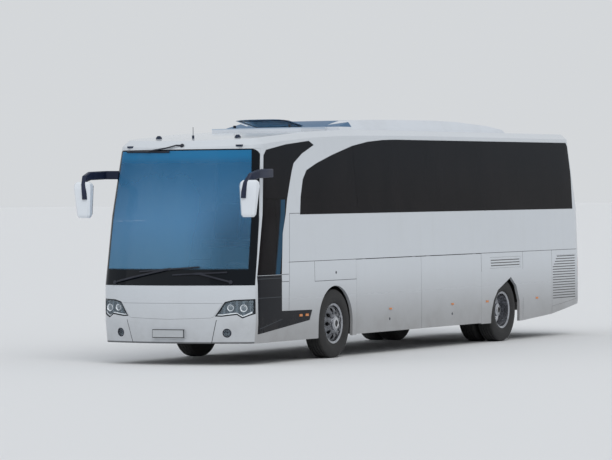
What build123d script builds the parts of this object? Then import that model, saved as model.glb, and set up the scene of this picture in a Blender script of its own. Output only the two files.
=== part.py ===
"""Coach bus, millimetres. +X is the front, +Y the driver's (left) side, +Z is up, z 0 is the road."""
import os
from math import asin, cos, hypot, pi, sin, sqrt
from build123d import *

os.makedirs("parts", exist_ok=True)

# Whole vehicle
length = 12140
wheelbase = 6080
front_overhang = 2800
mirror_reach = 180
front_x = (length - mirror_reach) / 2
rear_x = front_x - length
steer_x = front_x - front_overhang
drive_x = steer_x - wheelbase
half_width = 1275
roof_z = 3420
sill_z = 315
belt_z = 1460
window_z = 2148
window_top = 3276
eaves_z = 3284
screen_foot = 1148
screen_head = 3112
wall = 45
glass = 8
fit = 0.3
run = 8
arch_radius = 556
arch_z = 522

# Plan of the body: bowed nose and tail with rounded corners, at five levels, all in flats a few degrees apart
nose_radius = 3000
nose_corner = 250
nose_flats = 10
tail_radius = 9000
tail_corner = 230
tail_flats = 4
corner_flats = 5
# level, set back of the nose, half width, set in of the tail
levels = (
    (200, 45, 1262, 60),
    (620, 0, 1275, 10),
    (1150, 8, 1275, 0),
    (2150, 189, 1258, 30),
    (3600, 451, 1127, 190),
)
roof_bow = 43000
roof_flat_from = steer_x - 1600
crest_flats = 4
roof_edge = 150


def end_flats(end_x, sign, big, small, half, inset, flats):
    """Plan corners of the nose (1) or the tail (-1), from the middle line out to the left side."""
    lean = asin((half_width - small) / (big - small))
    reach = (half - small) / sin(lean)
    big_x = end_x - sign * (reach + small)
    corner_x = big_x + sign * reach * cos(lean)
    points = []
    for i in range(flats // 2):
        a = lean * 2 * i / flats
        points.append((big_x + sign * (reach + small - inset) * cos(a), (reach + small - inset) * sin(a)))
    for i in range(corner_flats + 1):
        a = lean + (pi / 2 - lean) * i / corner_flats
        points.append((corner_x + sign * (small - inset) * cos(a), half - small + (small - inset) * sin(a)))
    return points


def form(inset, bottom=sill_z):
    """The body as a solid, its faces drawn in by the inset."""
    with BuildPart() as f:
        for z, nose, half, tail in levels:
            front = end_flats(front_x - nose, 1, nose_radius, nose_corner, half, inset, nose_flats)
            rear = end_flats(rear_x + tail, -1, tail_radius, tail_corner, half, inset, tail_flats)
            left = front + rear[::-1]
            right = [(x, -y) for x, y in left[::-1][1:-1]]
            with BuildSketch(Plane.XY.offset(z)):
                Polygon(*left, *right, align=None)
        loft(ruled=True)
        bow = roof_bow - inset
        top = roof_z - inset
        xe = front_x + 100
        crest = []
        for i in range(crest_flats + 1):
            d = (xe - roof_flat_from) * i / crest_flats
            crest.append((roof_flat_from + d, top - bow + sqrt(bow ** 2 - d ** 2)))
        with BuildSketch(Plane.XZ):
            Polygon(*crest, (xe, bottom), (rear_x - 100, bottom), (rear_x - 100, top), align=None)
        extrude(amount=2000, both=True, mode=Mode.INTERSECT)
        tops = [a for a in f.faces() if a.normal_at().Z > 0.95]
        rim = []
        for a in tops:
            for e in a.edges():
                shared = [o for b in tops if b is not a for o in b.edges()
                          if (o.center() - e.center()).length < 0.01]
                if not shared:
                    rim.append(e)
        chamfer(rim, length=(roof_edge - inset) * (2 - sqrt(2)))
    return f.part


def side_prism(points, y0, y1, grow=0):
    """A prism across the bus from a side view outline of (x, z) points, grown or shrunk."""
    with BuildPart() as f:
        with BuildSketch(Plane(origin=(0, y0, 0), x_dir=(1, 0, 0), z_dir=(0, -1, 0))):
            Polygon(*points, align=None)
            if grow:
                offset(amount=grow, kind=Kind.INTERSECTION)
        extrude(amount=-(y1 - y0))
    return f.part


def end_prism(points, x0, x1, grow=0):
    """A prism along the bus from an end view outline of (y, z) points, grown or shrunk."""
    with BuildPart() as f:
        with BuildSketch(Plane(origin=(x0, 0, 0), x_dir=(0, 1, 0), z_dir=(1, 0, 0))):
            Polygon(*points, align=None)
            if grow:
                offset(amount=grow, kind=Kind.INTERSECTION)
        extrude(amount=x1 - x0)
    return f.part


def box(x0, x1, y0, y1, z0, z1):
    """A box between six planes."""
    with BuildPart() as f:
        with Locations(((x0 + x1) / 2, (y0 + y1) / 2, (z0 + z1) / 2)):
            Box(x1 - x0, y1 - y0, z1 - z0)
    return f.part


def rod(centre, axis, radius, half_length):
    """A cylinder about a centre, along X, Y or Z."""
    turn = {"X": (0, 90, 0), "Y": (90, 0, 0), "Z": (0, 0, 0)}[axis]
    with BuildPart() as f:
        with Locations(Location(centre, turn)):
            Cylinder(radius, 2 * half_length)
    return f.part


def drum(centre, axis, radius, half_length, flats=16):
    """A prism of many flats about a centre, along X, Y or Z; the radius is to the flats."""
    turn = {"X": (0, 90, 0), "Y": (90, 0, 0), "Z": (0, 0, 0)}[axis]
    with BuildPart() as f:
        with BuildSketch(Plane(Location(centre, turn)).offset(-half_length)):
            RegularPolygon(radius, flats, major_radius=False, rotation=180 / flats)
        extrude(amount=2 * half_length)
    return f.part


def bead(centre, axis, radius, half_length, up=2):
    """A hinge bead: a rod with a web that reaches up (or down, if negative) past its edge."""
    x, y, z = centre
    lx, ly = (half_length, radius) if axis == "X" else (radius, half_length)
    z0, z1 = (z, z + radius + up) if up > 0 else (z - radius + up, z)
    with BuildPart() as f:
        add(rod(centre, axis, radius, half_length))
        add(box(x - lx, x + lx, y - ly, y + ly, z0, z1))
    return f.part


outer = form(0)
clear_of_body = form(-fit)
glass_in = form(glass, 100)
rebate_in = form(glass + fit, 100)
inner = form(wall, 100)
with BuildPart() as shell_build:
    add(outer)
    add(inner, mode=Mode.SUBTRACT)
shell = shell_build.part
with BuildPart() as skin_build:
    add(outer)
    add(glass_in, mode=Mode.SUBTRACT)
skin = skin_build.part
with BuildPart() as backing_build:
    add(rebate_in)
    add(inner, mode=Mode.SUBTRACT)
backing = backing_build.part
with BuildPart() as rebate_build:
    add(form(-20))
    add(rebate_in, mode=Mode.SUBTRACT)
rebate = rebate_build.part

# Side view outlines (x, z)
band = [(4267, 2148), (4198, 2410), (4083, 2663), (3941, 2799), (3594, 2905), (3073, 3029), (2370, 3171),
        (1841, 3237), (1310, 3268), (900, 3276), (-5700, 3276), (-5770, 3210), (-5800, 2777), (-5740, 2148)]
driver_glass = [(5592, 1285), (5227, 3017), (5138, 3094), (4515, 3178), (3782, 3235), (3629, 3173),
                (4034, 3043), (4318, 2903), (4396, 2794), (4509, 2592), (4625, 2370), (4816, 1882), (4875, 1285)]
mask_edge = 5640
screen_edge = 5275
screen_lip = 42
driver_side = [(5597, 1280), (5597, 444), (4026, 595), (3940, 745), (4886, 757), (4880, 1280)]
rear_edge = -5860
eaves = [(-7000, eaves_z), (4200, eaves_z), (screen_edge, screen_head), (7000, screen_head)]
rear_arch = [(-2360, 200), (-2360, 420), (-2400, 560), (-2461, 689), (-2621, 847), (-3135, 1048),
             (-3350, 900), (-3470, 658), (-3483, 420), (-3483, 200)]
sill_rise = [(-3600, 200), (-3600, sill_z), (-4145, 348), (-4775, 383), (-5438, 464), (-5907, 531),
             (-7000, 640), (-7000, 200)]

# Louvred plates in the skirts (x, z)
grilles = (
    [(-4990, 1372), (-4810, 1200), (-4810, 510), (-5835, 610), (-5835, 1372)],
    [(-2330, 1384), (-2330, 1205), (-3530, 1205), (-3530, 1384)],
)
slat_pitch = 44
slot_height = 16

# Luggage flaps: name, side, front x, rear x
flaps = (
    ("flap_left_front", 1, 2490, 240),
    ("flap_left_rear", 1, 240, -1990),
    ("flap_right_front", -1, 2490, 240),
    ("flap_right_rear", -1, 240, -900),
)
flap_foot = 330
flap_edge = 4
# Amber side lamps: middle x, z; those on a flap are bosses of the flap, by side
flap_lamps = {1: (1347, -874), -1: (1347, -820)}
side_lamps = (4305, 4113, -2197, -4177)
lamp_z = 675
lamp_half = (48, 17)
lamp_proud = 7
hinge_radius = 4
hinge_in = 260
hinge_long = 60
hinge_z = belt_z - hinge_radius
# Doors on the right: name, front x, rear x, head z, jamb the arms stand at (1 front, -1 rear)
doors = (
    ("front", 5320, 4440, 2080, 1),
    ("middle", -970, -1770, 2100, -1),
)
door_foot = 335
post_in = 70
post_y = -1150
post_radius = 20
pin_radius = 12
eye_radius = 22
arm_reach = 370
arm_levels = (760, 1760)
arm_height = 30
door_open = 155

steer_wheel_y = 1118
drive_wheel_y = 1100
dual_gap = 330


def front_arch(side):
    """The cut of a front wheel arch on one side."""
    y0, y1 = (900, 1500) if side > 0 else (-1500, -900)
    with BuildPart() as f:
        add(rod((steer_x, (y0 + y1) / 2, arch_z), "Y", arch_radius, 300))
        add(box(steer_x - arch_radius, steer_x + arch_radius, y0, y1, 100, arch_z))
    return f.part


def side_half(side):
    """The half space of one side between the tail corner and the front edge of the side."""
    y0, y1 = (600, 1500) if side > 0 else (-1500, -600)
    points = [(rear_edge + fit, 100), (mask_edge - fit, 100), (mask_edge - fit, screen_foot),
              (screen_edge - fit, screen_head - fit), (4200, eaves_z - fit), (rear_edge + fit, eaves_z - fit)]
    return side_prism(points, y0, y1)


def screen_line(z):
    """Where the windscreen ends on the side at a level."""
    return screen_edge + (screen_head - z) * (mask_edge - screen_edge) / (screen_head - screen_foot)


def side_y(z):
    """Half width of the outside at a level."""
    for (z0, n0, w0, t0), (z1, n1, w1, t1) in zip(levels[:-1], levels[1:]):
        if z0 <= z <= z1:
            return w0 + (w1 - w0) * (z - z0) / (z1 - z0)


def nose_x(z):
    """Foremost point of the outside at a level."""
    for (z0, n0, w0, t0), (z1, n1, w1, t1) in zip(levels[:-1], levels[1:]):
        if z0 <= z <= z1:
            return front_x - n0 - (n1 - n0) * (z - z0) / (z1 - z0)


def tail_x(z):
    """Rearmost point of the outside at a level."""
    for (z0, n0, w0, t0), (z1, n1, w1, t1) in zip(levels[:-1], levels[1:]):
        if z0 <= z <= z1:
            return rear_x + t0 + (t1 - t0) * (z - z0) / (z1 - z0)


def side_lamp(x, side, sunk):
    """A low oblong lamp on the side, its back that far inside the skin."""
    long, high = lamp_half
    y = side_y(lamp_z + high)
    return side_prism([(x - long, lamp_z - high), (x + long, lamp_z - high), (x + long - 6, lamp_z + high),
                       (x - long + 6, lamp_z + high)], *sorted((side * (y - sunk), side * (y + lamp_proud))))


def zone(points, side, grow=0):
    """A side view outline as a prism on one side."""
    y0, y1 = (600, 1500) if side > 0 else (-1500, -600)
    return side_prism(points, y0, y1, grow)


# Window posts behind the side glass: middle x
posts = (2370, 900, -600, -2100, -3600, -5000)
post_width = 70

for side, name in ((1, "left"), (-1, "right")):
    with BuildPart() as upper:
        add(shell)
        add(side_half(side), mode=Mode.INTERSECT)
        with BuildPart(mode=Mode.PRIVATE) as pillar:
            add(backing)
            add(side_prism([(mask_edge - 20, screen_foot + fit), (mask_edge + screen_lip, screen_foot + fit),
                            (screen_edge + screen_lip, screen_head - fit), (screen_edge - 20, screen_head - fit)],
                           side * 1300 - 700, side * 1300 + 700), mode=Mode.INTERSECT)
        add(pillar.part)
        add(box(-7000, 7000, -2000, 2000, 0, belt_z), mode=Mode.SUBTRACT)
        for outline in (band, driver_glass):
            with BuildPart(mode=Mode.PRIVATE) as rebated:
                add(rebate)
                add(zone(outline, side), mode=Mode.INTERSECT)
            add(rebated.part, mode=Mode.SUBTRACT)
        with BuildPart(mode=Mode.PRIVATE) as hole:
            add(zone(band, side, -45))
            for x in posts:
                add(box(x - post_width / 2, x + post_width / 2, -2000, 2000, 2000, 3400), mode=Mode.SUBTRACT)
        add(hole.part, mode=Mode.SUBTRACT)
        for flap, flap_side, x1, x0 in flaps:
            if flap_side == side:
                for x in (x0 + hinge_in, x1 - hinge_in):
                    add(bead((x, side * (side_y(hinge_z) - hinge_radius), hinge_z), "X", hinge_radius, hinge_long))
        with BuildPart(mode=Mode.PRIVATE) as front_hole:
            add(zone(driver_glass, side, -30))
            if side < 0:
                add(box(4300, 5700, -1500, -900, doors[0][3], doors[0][3] + 70), mode=Mode.SUBTRACT)
        add(front_hole.part, mode=Mode.SUBTRACT)
        if side < 0:
            for door, x1, x0, head, jamb in doors:
                add(box(x0, x1, -1500, -900, 100, head), mode=Mode.SUBTRACT)
                px = x1 - post_in if jamb > 0 else x0 + post_in
                add(box(px - 30, px + 30, -1235, post_y + 30, head + 6, head + 34))
                add(rod((px, post_y, head + 20), "Z", pin_radius + 0.05, 30), mode=Mode.SUBTRACT)
    upper.part.label = "side_wall_" + name
    export_step(upper.part, "parts/side_wall_" + name + ".step")

    with BuildPart() as skirt:
        add(shell)
        add(side_half(side), mode=Mode.INTERSECT)
        add(box(-7000, 7000, -2000, 2000, belt_z - fit, 4000), mode=Mode.SUBTRACT)
        add(front_arch(side), mode=Mode.SUBTRACT)
        add(zone(rear_arch, side), mode=Mode.SUBTRACT)
        add(side_prism(sill_rise, -2000, 2000), mode=Mode.SUBTRACT)
        add(rod((drive_x, side * 1100, 514), "Y", 545, 155), mode=Mode.SUBTRACT)
        with BuildPart(mode=Mode.PRIVATE) as grille_rebate:
            add(rebate)
            with BuildPart(mode=Mode.PRIVATE) as areas:
                for outline in grilles:
                    add(zone(outline, side))
            add(areas.part, mode=Mode.INTERSECT)
        add(grille_rebate.part, mode=Mode.SUBTRACT)
        for flap, flap_side, x1, x0 in flaps:
            if flap_side == side:
                add(box(x0, x1, side * 1275 - 300, side * 1275 + 300, 100, 2000),
                    mode=Mode.SUBTRACT)
        if side > 0:
            add(zone(driver_side, side, fit), mode=Mode.SUBTRACT)
            add(zone(driver_glass, side), mode=Mode.SUBTRACT)
        else:
            for door, x1, x0, head, jamb in doors:
                add(box(x0, x1, -1500, -900, 100, head), mode=Mode.SUBTRACT)
            add(zone(driver_glass, side), mode=Mode.SUBTRACT)
    skirt.part.label = "skirt_" + name
    export_step(skirt.part, "parts/skirt_" + name + ".step")

    with BuildPart() as panes:
        add(skin)
        with BuildPart(mode=Mode.PRIVATE) as areas:
            add(zone(band, side, -3))
            add(zone(driver_glass, side, -3))
            add(box(2370 - 3, 2370 + 3, -2000, 2000, 2000, 3400), mode=Mode.SUBTRACT)
            if side < 0:
                add(box(doors[0][2], doors[0][1], -1500, -900, 100, doors[0][3] + 20), mode=Mode.SUBTRACT)
        add(areas.part, mode=Mode.INTERSECT)
    panes.part.label = "side_glass_" + name
    export_step(panes.part, "parts/side_glass_" + name + ".step")
    print(name, "done")


def save(part, name):
    """Label a finished solid and write it."""
    part.label = name
    export_step(part, "parts/" + name + ".step")


with BuildPart() as driver_panel:
    add(shell)
    add(zone(driver_side, 1), mode=Mode.INTERSECT)
save(driver_panel.part, "driver_panel")

for flap, side, x1, x0 in flaps:
    with BuildPart() as lid:
        add(shell)
        add(box(x0 + flap_edge, x1 - flap_edge, side * 1275 - 300, side * 1275 + 300, flap_foot, belt_z - run),
            mode=Mode.INTERSECT)
        add(rod(((x0 + x1) / 2, side * (side_y(hinge_z) - hinge_radius), hinge_z), "X", hinge_radius + fit,
                (x1 - x0) / 2), mode=Mode.SUBTRACT)
        for x in flap_lamps[side]:
            if x0 < x < x1:
                add(side_lamp(x, side, 3))
    save(lid.part, flap)

with BuildPart() as side_markers:
    for side in (1, -1):
        for x in side_lamps:
            if side > 0 or x < 4000:
                add(side_lamp(x, side, -fit))
save(side_markers.part, "side_markers")

# Front (y, z) outlines
mask_foot = 656
service_flap = [(-826, 893), (826, 893), (694, 700), (655, 686), (0, 666), (-655, 686), (-694, 700)]
lamp = [(715, 706), (858, 914), (976, 943), (1300, 956), (1300, 762), (1102, 676), (1024, 728), (818, 703)]
service_gap = 3
bowl_rim = 12


def mirrored(points):
    return [(-y, z) for y, z in points]


with BuildPart() as front_mask:
    add(shell)
    add(box(mask_edge, 7000, -2000, 2000, mask_foot, screen_foot), mode=Mode.INTERSECT)
    with BuildPart(mode=Mode.PRIVATE) as ledge:
        add(backing)
        add(box(mask_edge + screen_lip + fit, 7000, -2000, 2000, screen_foot - 20, screen_foot + screen_lip),
            mode=Mode.INTERSECT)
    add(ledge.part)
    add(end_prism(service_flap, 5500, 6500, service_gap), mode=Mode.SUBTRACT)
    for outline in (lamp, mirrored(lamp)):
        add(end_prism(outline, mask_edge - 1, 6500), mode=Mode.SUBTRACT)
save(front_mask.part, "front_mask")

with BuildPart() as front_flap:
    add(shell)
    add(end_prism(service_flap, 5700, 6500), mode=Mode.INTERSECT)
save(front_flap.part, "service_flap")

fog_y = 880
fog_z = 468
fog_radius = 49
with BuildPart() as lenses:
    add(skin)
    with BuildPart(mode=Mode.PRIVATE) as areas:
        for outline in (lamp, mirrored(lamp)):
            add(end_prism(outline, mask_edge + 1, 6500, -2))
        for side in (1, -1):
            add(rod((5850, side * fog_y, fog_z), "X", fog_radius, 200))
    add(areas.part, mode=Mode.INTERSECT)
save(lenses.part, "front_lenses")

with BuildPart() as bowls:
    add(backing)
    with BuildPart(mode=Mode.PRIVATE) as areas:
        for outline in (lamp, mirrored(lamp)):
            add(end_prism(outline, mask_edge + fit, 6500, -fit))
        for side in (1, -1):
            add(rod((5850, side * fog_y, fog_z), "X", fog_radius + 6 - fit, 200))
    add(areas.part, mode=Mode.INTERSECT)
    with BuildPart(mode=Mode.PRIVATE) as hollows:
        add(outer)
        add(form(wall - 8, 100), mode=Mode.SUBTRACT)
        with BuildPart(mode=Mode.PRIVATE) as areas:
            for outline in (lamp, mirrored(lamp)):
                add(end_prism(outline, mask_edge + bowl_rim, 6500, -bowl_rim))
            for side in (1, -1):
                add(rod((5850, side * fog_y, fog_z), "X", fog_radius - 8, 200))
        add(areas.part, mode=Mode.INTERSECT)
    add(hollows.part, mode=Mode.SUBTRACT)
save(bowls.part, "headlamp_bowls")

plate_half = 260
plate_foot = 390
plate_head = 527
with BuildPart() as bumper:
    add(shell)
    add(box(mask_edge, 7000, -2000, 2000, 0, mask_foot - fit), mode=Mode.INTERSECT)
    add(box(front_x - 40, front_x + 12, -plate_half, plate_half, plate_foot, plate_head))
    for side in (1, -1):
        add(rod((5850, side * fog_y, fog_z), "X", fog_radius + 6, 200), mode=Mode.SUBTRACT)
save(bumper.part, "bumper_front")

with BuildPart() as windscreen:
    add(skin)
    add(side_prism([(mask_edge + 3, screen_foot + 3), (7000, screen_foot + 3), (7000, screen_head - 3),
                    (screen_edge + 3, screen_head - 3)], -2000, 2000), mode=Mode.INTERSECT)
save(windscreen.part, "windscreen")

# Roof hatches: name, front x, rear x, half width, deck z, degrees it stands open
hatches = (
    ("hatch_front", 3160, 2500, 445, 3456, 9.0),
    ("hatch_rear", -4300, -4960, 400, roof_z, 0.0),
)
hatch_thickness = 28
hatch_hinge = 3
hatch_lift = 2 * hatch_hinge + fit
hatch_hinge_in = 8
with BuildPart() as roof:
    add(shell)
    add(side_prism(eaves + [(7000, 4000), (-7000, 4000)], -2000, 2000), mode=Mode.INTERSECT)
    with BuildPart(mode=Mode.PRIVATE) as header:
        add(backing)
        foot, head = screen_head - screen_lip, screen_head + 20
        add(side_prism([(screen_line(foot) + screen_lip + fit, foot), (7000, foot), (7000, head),
                        (screen_line(head) + screen_lip + fit, head)], -2000, 2000), mode=Mode.INTERSECT)
    add(header.part)
    for name, x1, x0, half, deck, stands in hatches:
        add(box(x0 + 60, x1 - 60, -half + 60, half - 60, 3000, 4000), mode=Mode.SUBTRACT)
    name, x1, x0, half, deck, stands = hatches[1]
    for y in (-half + 100, half - 100):
        add(bead((x0 + hatch_hinge_in, y, deck + hatch_hinge), "Y", hatch_hinge, 40, -2))
save(roof.part, "roof")

unit_side = [(3270, 3380), (3270, 3445), (2470, 3460), (1900, 3563), (1100, 3584), (-1020, 3602), (-1880, 3586),
             (-2990, 3533), (-3520, 3476), (-3640, 3380)]
with BuildPart() as roof_unit:
    add(side_prism(unit_side, -1010, 1010))
    add(end_prism([(-1010, 3380), (1010, 3380), (905, 3590), (700, 3640), (-700, 3640), (-905, 3590)],
                  -4000, 4000), mode=Mode.INTERSECT)
    add(box(2440, 4000, 760, 2000, 3000, 4000), mode=Mode.SUBTRACT)
    add(box(2440, 4000, -2000, -760, 3000, 4000), mode=Mode.SUBTRACT)
    add(clear_of_body, mode=Mode.SUBTRACT)
    name, x1, x0, half, deck, stands = hatches[0]
    add(box(x0 + 60, x1 - 60, -half + 60, half - 60, 3000, 4000), mode=Mode.SUBTRACT)
    add(box(x0 - 12, 4000, -half - run, half + run, deck, 4000), mode=Mode.SUBTRACT)
    for y in (-half + 100, half - 100):
        add(bead((x0 + hatch_hinge_in, y, deck + hatch_hinge), "Y", hatch_hinge, 40, -2))
save(roof_unit.part, "roof_unit")

for name, x1, x0, half, deck, stands in hatches:
    with BuildPart() as cover:
        add(box(x0, x1, -half, half, deck + hatch_lift, deck + hatch_lift + hatch_thickness))
        fillet(cover.edges().filter_by(Axis.Z), radius=60)
    pivot = Axis((x0 + hatch_hinge_in, 0, deck + hatch_hinge), (0, 1, 0))
    save(cover.part.rotate(pivot, -stands), name)

# Rear (y, z) outlines
tail_glass = [(-1000, 2230), (1000, 2230), (960, 2900), (-960, 2900)]
engine_lid = [(-960, 800), (960, 800), (960, 2040), (-960, 2040)]
tail_lamp = [(1000, 800), (1300, 800), (1300, 1330), (1000, 1330)]
tail_half = [(rear_edge, 0), (-7000, 0), (-7000, eaves_z - fit), (rear_edge, eaves_z - fit)]
lid_hinge_z = engine_lid[2][1] + run / 2
lid_hinge_x = tail_x(lid_hinge_z) + run / 2
with BuildPart() as rear_wall:
    add(shell)
    add(side_prism(tail_half, -2000, 2000), mode=Mode.INTERSECT)
    add(side_prism(sill_rise, -2000, 2000), mode=Mode.SUBTRACT)
    with BuildPart(mode=Mode.PRIVATE) as rebated:
        add(rebate)
        add(end_prism(tail_glass, -6500, -5900), mode=Mode.INTERSECT)
    add(rebated.part, mode=Mode.SUBTRACT)
    add(end_prism(tail_glass, -6500, -5900, -45), mode=Mode.SUBTRACT)
    add(end_prism(engine_lid, -6500, -5900, run), mode=Mode.SUBTRACT)
    for y in (-110, 110):
        add(bead((lid_hinge_x, y, lid_hinge_z), "Y", run / 2, 40))
    with BuildPart(mode=Mode.PRIVATE) as rebated_lamps:
        add(rebate)
        with BuildPart(mode=Mode.PRIVATE) as areas:
            for outline in (tail_lamp, mirrored(tail_lamp)):
                add(end_prism(outline, -6500, rear_edge - 60))
        add(areas.part, mode=Mode.INTERSECT)
    add(rebated_lamps.part, mode=Mode.SUBTRACT)
save(rear_wall.part, "rear_wall")

with BuildPart() as lid:
    add(shell)
    add(end_prism(engine_lid, -6500, -5900), mode=Mode.INTERSECT)
    add(rod((lid_hinge_x, 0, lid_hinge_z), "Y", run / 2 + fit, 1000), mode=Mode.SUBTRACT)
save(lid.part, "engine_lid")

with BuildPart() as tail_pane:
    add(skin)
    add(end_prism(tail_glass, -6500, -5900, -3), mode=Mode.INTERSECT)
save(tail_pane.part, "rear_glass")

with BuildPart() as tail_lamps:
    add(skin)
    with BuildPart(mode=Mode.PRIVATE) as areas:
        for outline in (tail_lamp, mirrored(tail_lamp)):
            add(end_prism(outline, -6500, rear_edge - 63, -3))
    add(areas.part, mode=Mode.INTERSECT)
save(tail_lamps.part, "rear_lamps")


# Doors and their swing arms
def bar(points, width, z0, z1):
    """A flat bar along plan points."""
    with BuildPart() as f:
        for (xa, ya), (xb, yb) in zip(points[:-1], points[1:]):
            n = hypot(xb - xa, yb - ya)
            ux, uy = (xb - xa) / n, (yb - ya) / n
            w = width / 2
            with BuildSketch(Plane.XY.offset(z0)):
                Polygon((xa - uy * w, ya + ux * w), (xb - uy * w, yb + ux * w),
                        (xb + uy * w, yb - ux * w), (xa + uy * w, ya - ux * w), align=None)
            extrude(amount=z1 - z0)
        for x, y in points[1:-1]:
            add(drum((x, y, (z0 + z1) / 2), "Z", width / 2, (z1 - z0) / 2, 12))
    return f.part


for door, x1, x0, head, jamb in doors:
    px = x1 - post_in if jamb > 0 else x0 + post_in
    lead = -1 if jamb > 0 else 1
    dx = px + lead * arm_reach
    path = [(px, post_y), (px + lead * 115, post_y + 125), (px + lead * (arm_reach - 110), post_y + 70),
            (dx, post_y)]
    with BuildPart() as arms:
        add(drum((px, post_y, (372 + head) / 2), "Z", post_radius, (head - 372) / 2, 12))
        add(rod((px, post_y, 365), "Z", pin_radius, 12))
        add(rod((px, post_y, head + 12), "Z", pin_radius, 18))
        for z in arm_levels:
            add(bar(path, 30, z, z + arm_height))
            add(drum((dx, post_y, z + arm_height / 2), "Z", eye_radius, arm_height / 2, 12))
        for z in arm_levels:
            add(rod((dx, post_y, z + arm_height / 2), "Z", 9.05, 40), mode=Mode.SUBTRACT)
    save(arms.part, "door_arms_" + door)

    window = [(x0 + 100, 1010), (x1 - 100, 1010), (x1 - 100, head - 110), (x0 + 100, head - 110)]
    with BuildPart() as leaf:
        add(shell)
        add(box(x0 + run, x1 - run, -1500, -900, door_foot, head - run), mode=Mode.INTERSECT)
        if door == "front":
            with BuildPart(mode=Mode.PRIVATE) as rebated:
                add(rebate)
                add(zone(window, -1), mode=Mode.INTERSECT)
            add(rebated.part, mode=Mode.SUBTRACT)
            add(zone(window, -1, -30), mode=Mode.SUBTRACT)
        for z in arm_levels:
            for z0, z1 in ((z - 14, z - 4), (z + arm_height + 4, z + arm_height + 14)):
                add(box(dx - 22, dx + 22, -1235, post_y + 16, z0, z1))
            if door == "front" and z > 1000:
                add(box(x0 + 60, x1 - 60, -1248, -1232, z - 30, z + arm_height + 30))
            add(rod((dx, post_y, z + arm_height / 2), "Z", 9, arm_height / 2 + 14))
    save(leaf.part, "door_" + door)
    if door == "front":
        with BuildPart() as pane:
            add(skin)
            add(zone(window, -1, -3), mode=Mode.INTERSECT)
        save(pane.part, "door_front_glass")

# Floors and frame, as pieces that meet: front x, rear x, left y, right y, foot z, head z
floor_z = 1330
deck_z = 1290
belly_z = 370
in_y = 1215
seat_y = side_y(floor_z) - wall - fit
under_z = deck_z - fit
deck = (
    (4150, -5860, in_y, -in_y, deck_z, floor_z),
    (4150, 2530, seat_y, -seat_y, deck_z, floor_z),
    (-2030, -5860, seat_y, -seat_y, deck_z, floor_z),
)
hold = (
    (2530, -2250, in_y, -in_y, 335, belly_z),
    (2570, 2530, in_y, -in_y, 335, under_z),
    (-2210, -2250, in_y, -in_y, 335, under_z),
)
entrance = (
    (5450, 3790, in_y, -in_y, 335, belly_z),
    (3830, 3790, in_y, -in_y, 335, under_z),
    (4150, 4110, in_y, -in_y, 810, under_z),
    (5450, 3790, in_y, -560, 810, 850),
    (5450, 5410, in_y, -in_y, 335, 850),
    (5410, 4150, -560, -880, belly_z - 5, 610),
)
front_rails = (
    (3790 - fit, 2570 + fit, 620, 600, 740, under_z),
    (3790 - fit, 2570 + fit, -600, -620, 740, under_z),
)
rear_rails = (
    (-2250 - fit, -3540, 585, 565, 740, under_z),
    (-2250 - fit, -3540, -565, -585, 740, under_z),
)
tail_frame = (
    (-3540 - fit, -3580, in_y, -in_y, 620, under_z),
    (-3560, -5860, 560, 500, 620, 720),
    (-3560, -5860, -500, -560, 620, 720),
    (-5800, -5860, in_y, -in_y, 1150, under_z),
    (-5800, -5860, 560, 500, 620, under_z),
    (-5800, -5860, -500, -560, 620, under_z),
)
# Steps and walls behind the middle door
stairs = (
    (-990, -1750, -600, -720, belly_z + fit, 1060),
    (-990, -1750, -720, -860, belly_z + fit, 830),
    (-990, -1750, -860, -1000, belly_z + fit, 600),
    (-940, -970, -580, -in_y, belly_z + fit, under_z),
    (-1770, -1800, -580, -in_y, belly_z + fit, under_z),
    (-940, -1800, -580, -600, belly_z + fit, under_z),
)
jack_points = ((2450, 1000), (2450, -1000), (-2130, 1000), (-2130, -1000))
jack_pad = 120
with BuildPart() as underframe:
    for x1, x0, y1, y0, z0, z1 in deck:
        add(box(x0, x1, y0, y1, z0, z1))
    door, x1, x0, head, jamb = doors[1]
    add(box(x0, x1, -2000, -600, 1280, 1400), mode=Mode.SUBTRACT)
    for pieces in (hold, entrance, front_rails, rear_rails, tail_frame, stairs):
        for x1, x0, y1, y0, z0, z1 in pieces:
            add(box(x0, x1, min(y0, y1), max(y0, y1), z0, z1))
    for x, y in jack_points:
        add(box(x - jack_pad / 2, x + jack_pad / 2, y - jack_pad / 2, y + jack_pad / 2, 320, 340))
    for door, x1, x0, head, jamb in doors:
        px = x1 - post_in if jamb > 0 else x0 + post_in
        add(rod((px, post_y, 350), "Z", pin_radius + 0.05, 60), mode=Mode.SUBTRACT)
save(underframe.part, "underframe")

with BuildPart() as engine:
    add(box(-5500, -4000, -420, 420, 430, 1180))
    add(box(-5300, -4300, -499.7, 499.7, 640, 700))
save(engine.part, "engine")

# Seats: rows by x of the seat's front, on both sides; columns: left row, right row
seat_pitch = 790
seat_rows = 11
seat_first = 2950
bench_in = 240
bench_out = 1170


def bench(x, y0, y1, base, cushion, back):
    """A bench facing forward: a plinth, a cushion and a raked back."""
    with BuildPart() as f:
        add(box(x - 380, x - 120, y0 + 120, y1 - 120, base, base + cushion - 130))
        add(box(x - 470, x, y0, y1, base + cushion - 130, base + cushion))
        with BuildPart(mode=Mode.PRIVATE) as rest:
            with BuildSketch(Plane(origin=(0, y0, 0), x_dir=(1, 0, 0), z_dir=(0, -1, 0))):
                Polygon((x - 470, base + cushion - 60), (x - 375, base + cushion - 60),
                        (x - 520, base + cushion + back), (x - 600, base + cushion + back), align=None)
            extrude(amount=-(y1 - y0))
        add(rest.part)
    return f.part


with BuildPart() as seats:
    for row in range(seat_rows):
        x = seat_first - row * seat_pitch
        add(bench(x, bench_in, bench_out, floor_z + 0.3, 440, 720))
        if not -1900 < x - 300 < -700:
            add(bench(x, -bench_out, -bench_in, floor_z + 0.3, 440, 720))
save(seats.part, "seats")

with BuildPart() as driver_seat:
    add(bench(4780, 420, 900, 850.3, 400, 680))
save(driver_seat.part, "driver_seat")

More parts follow.
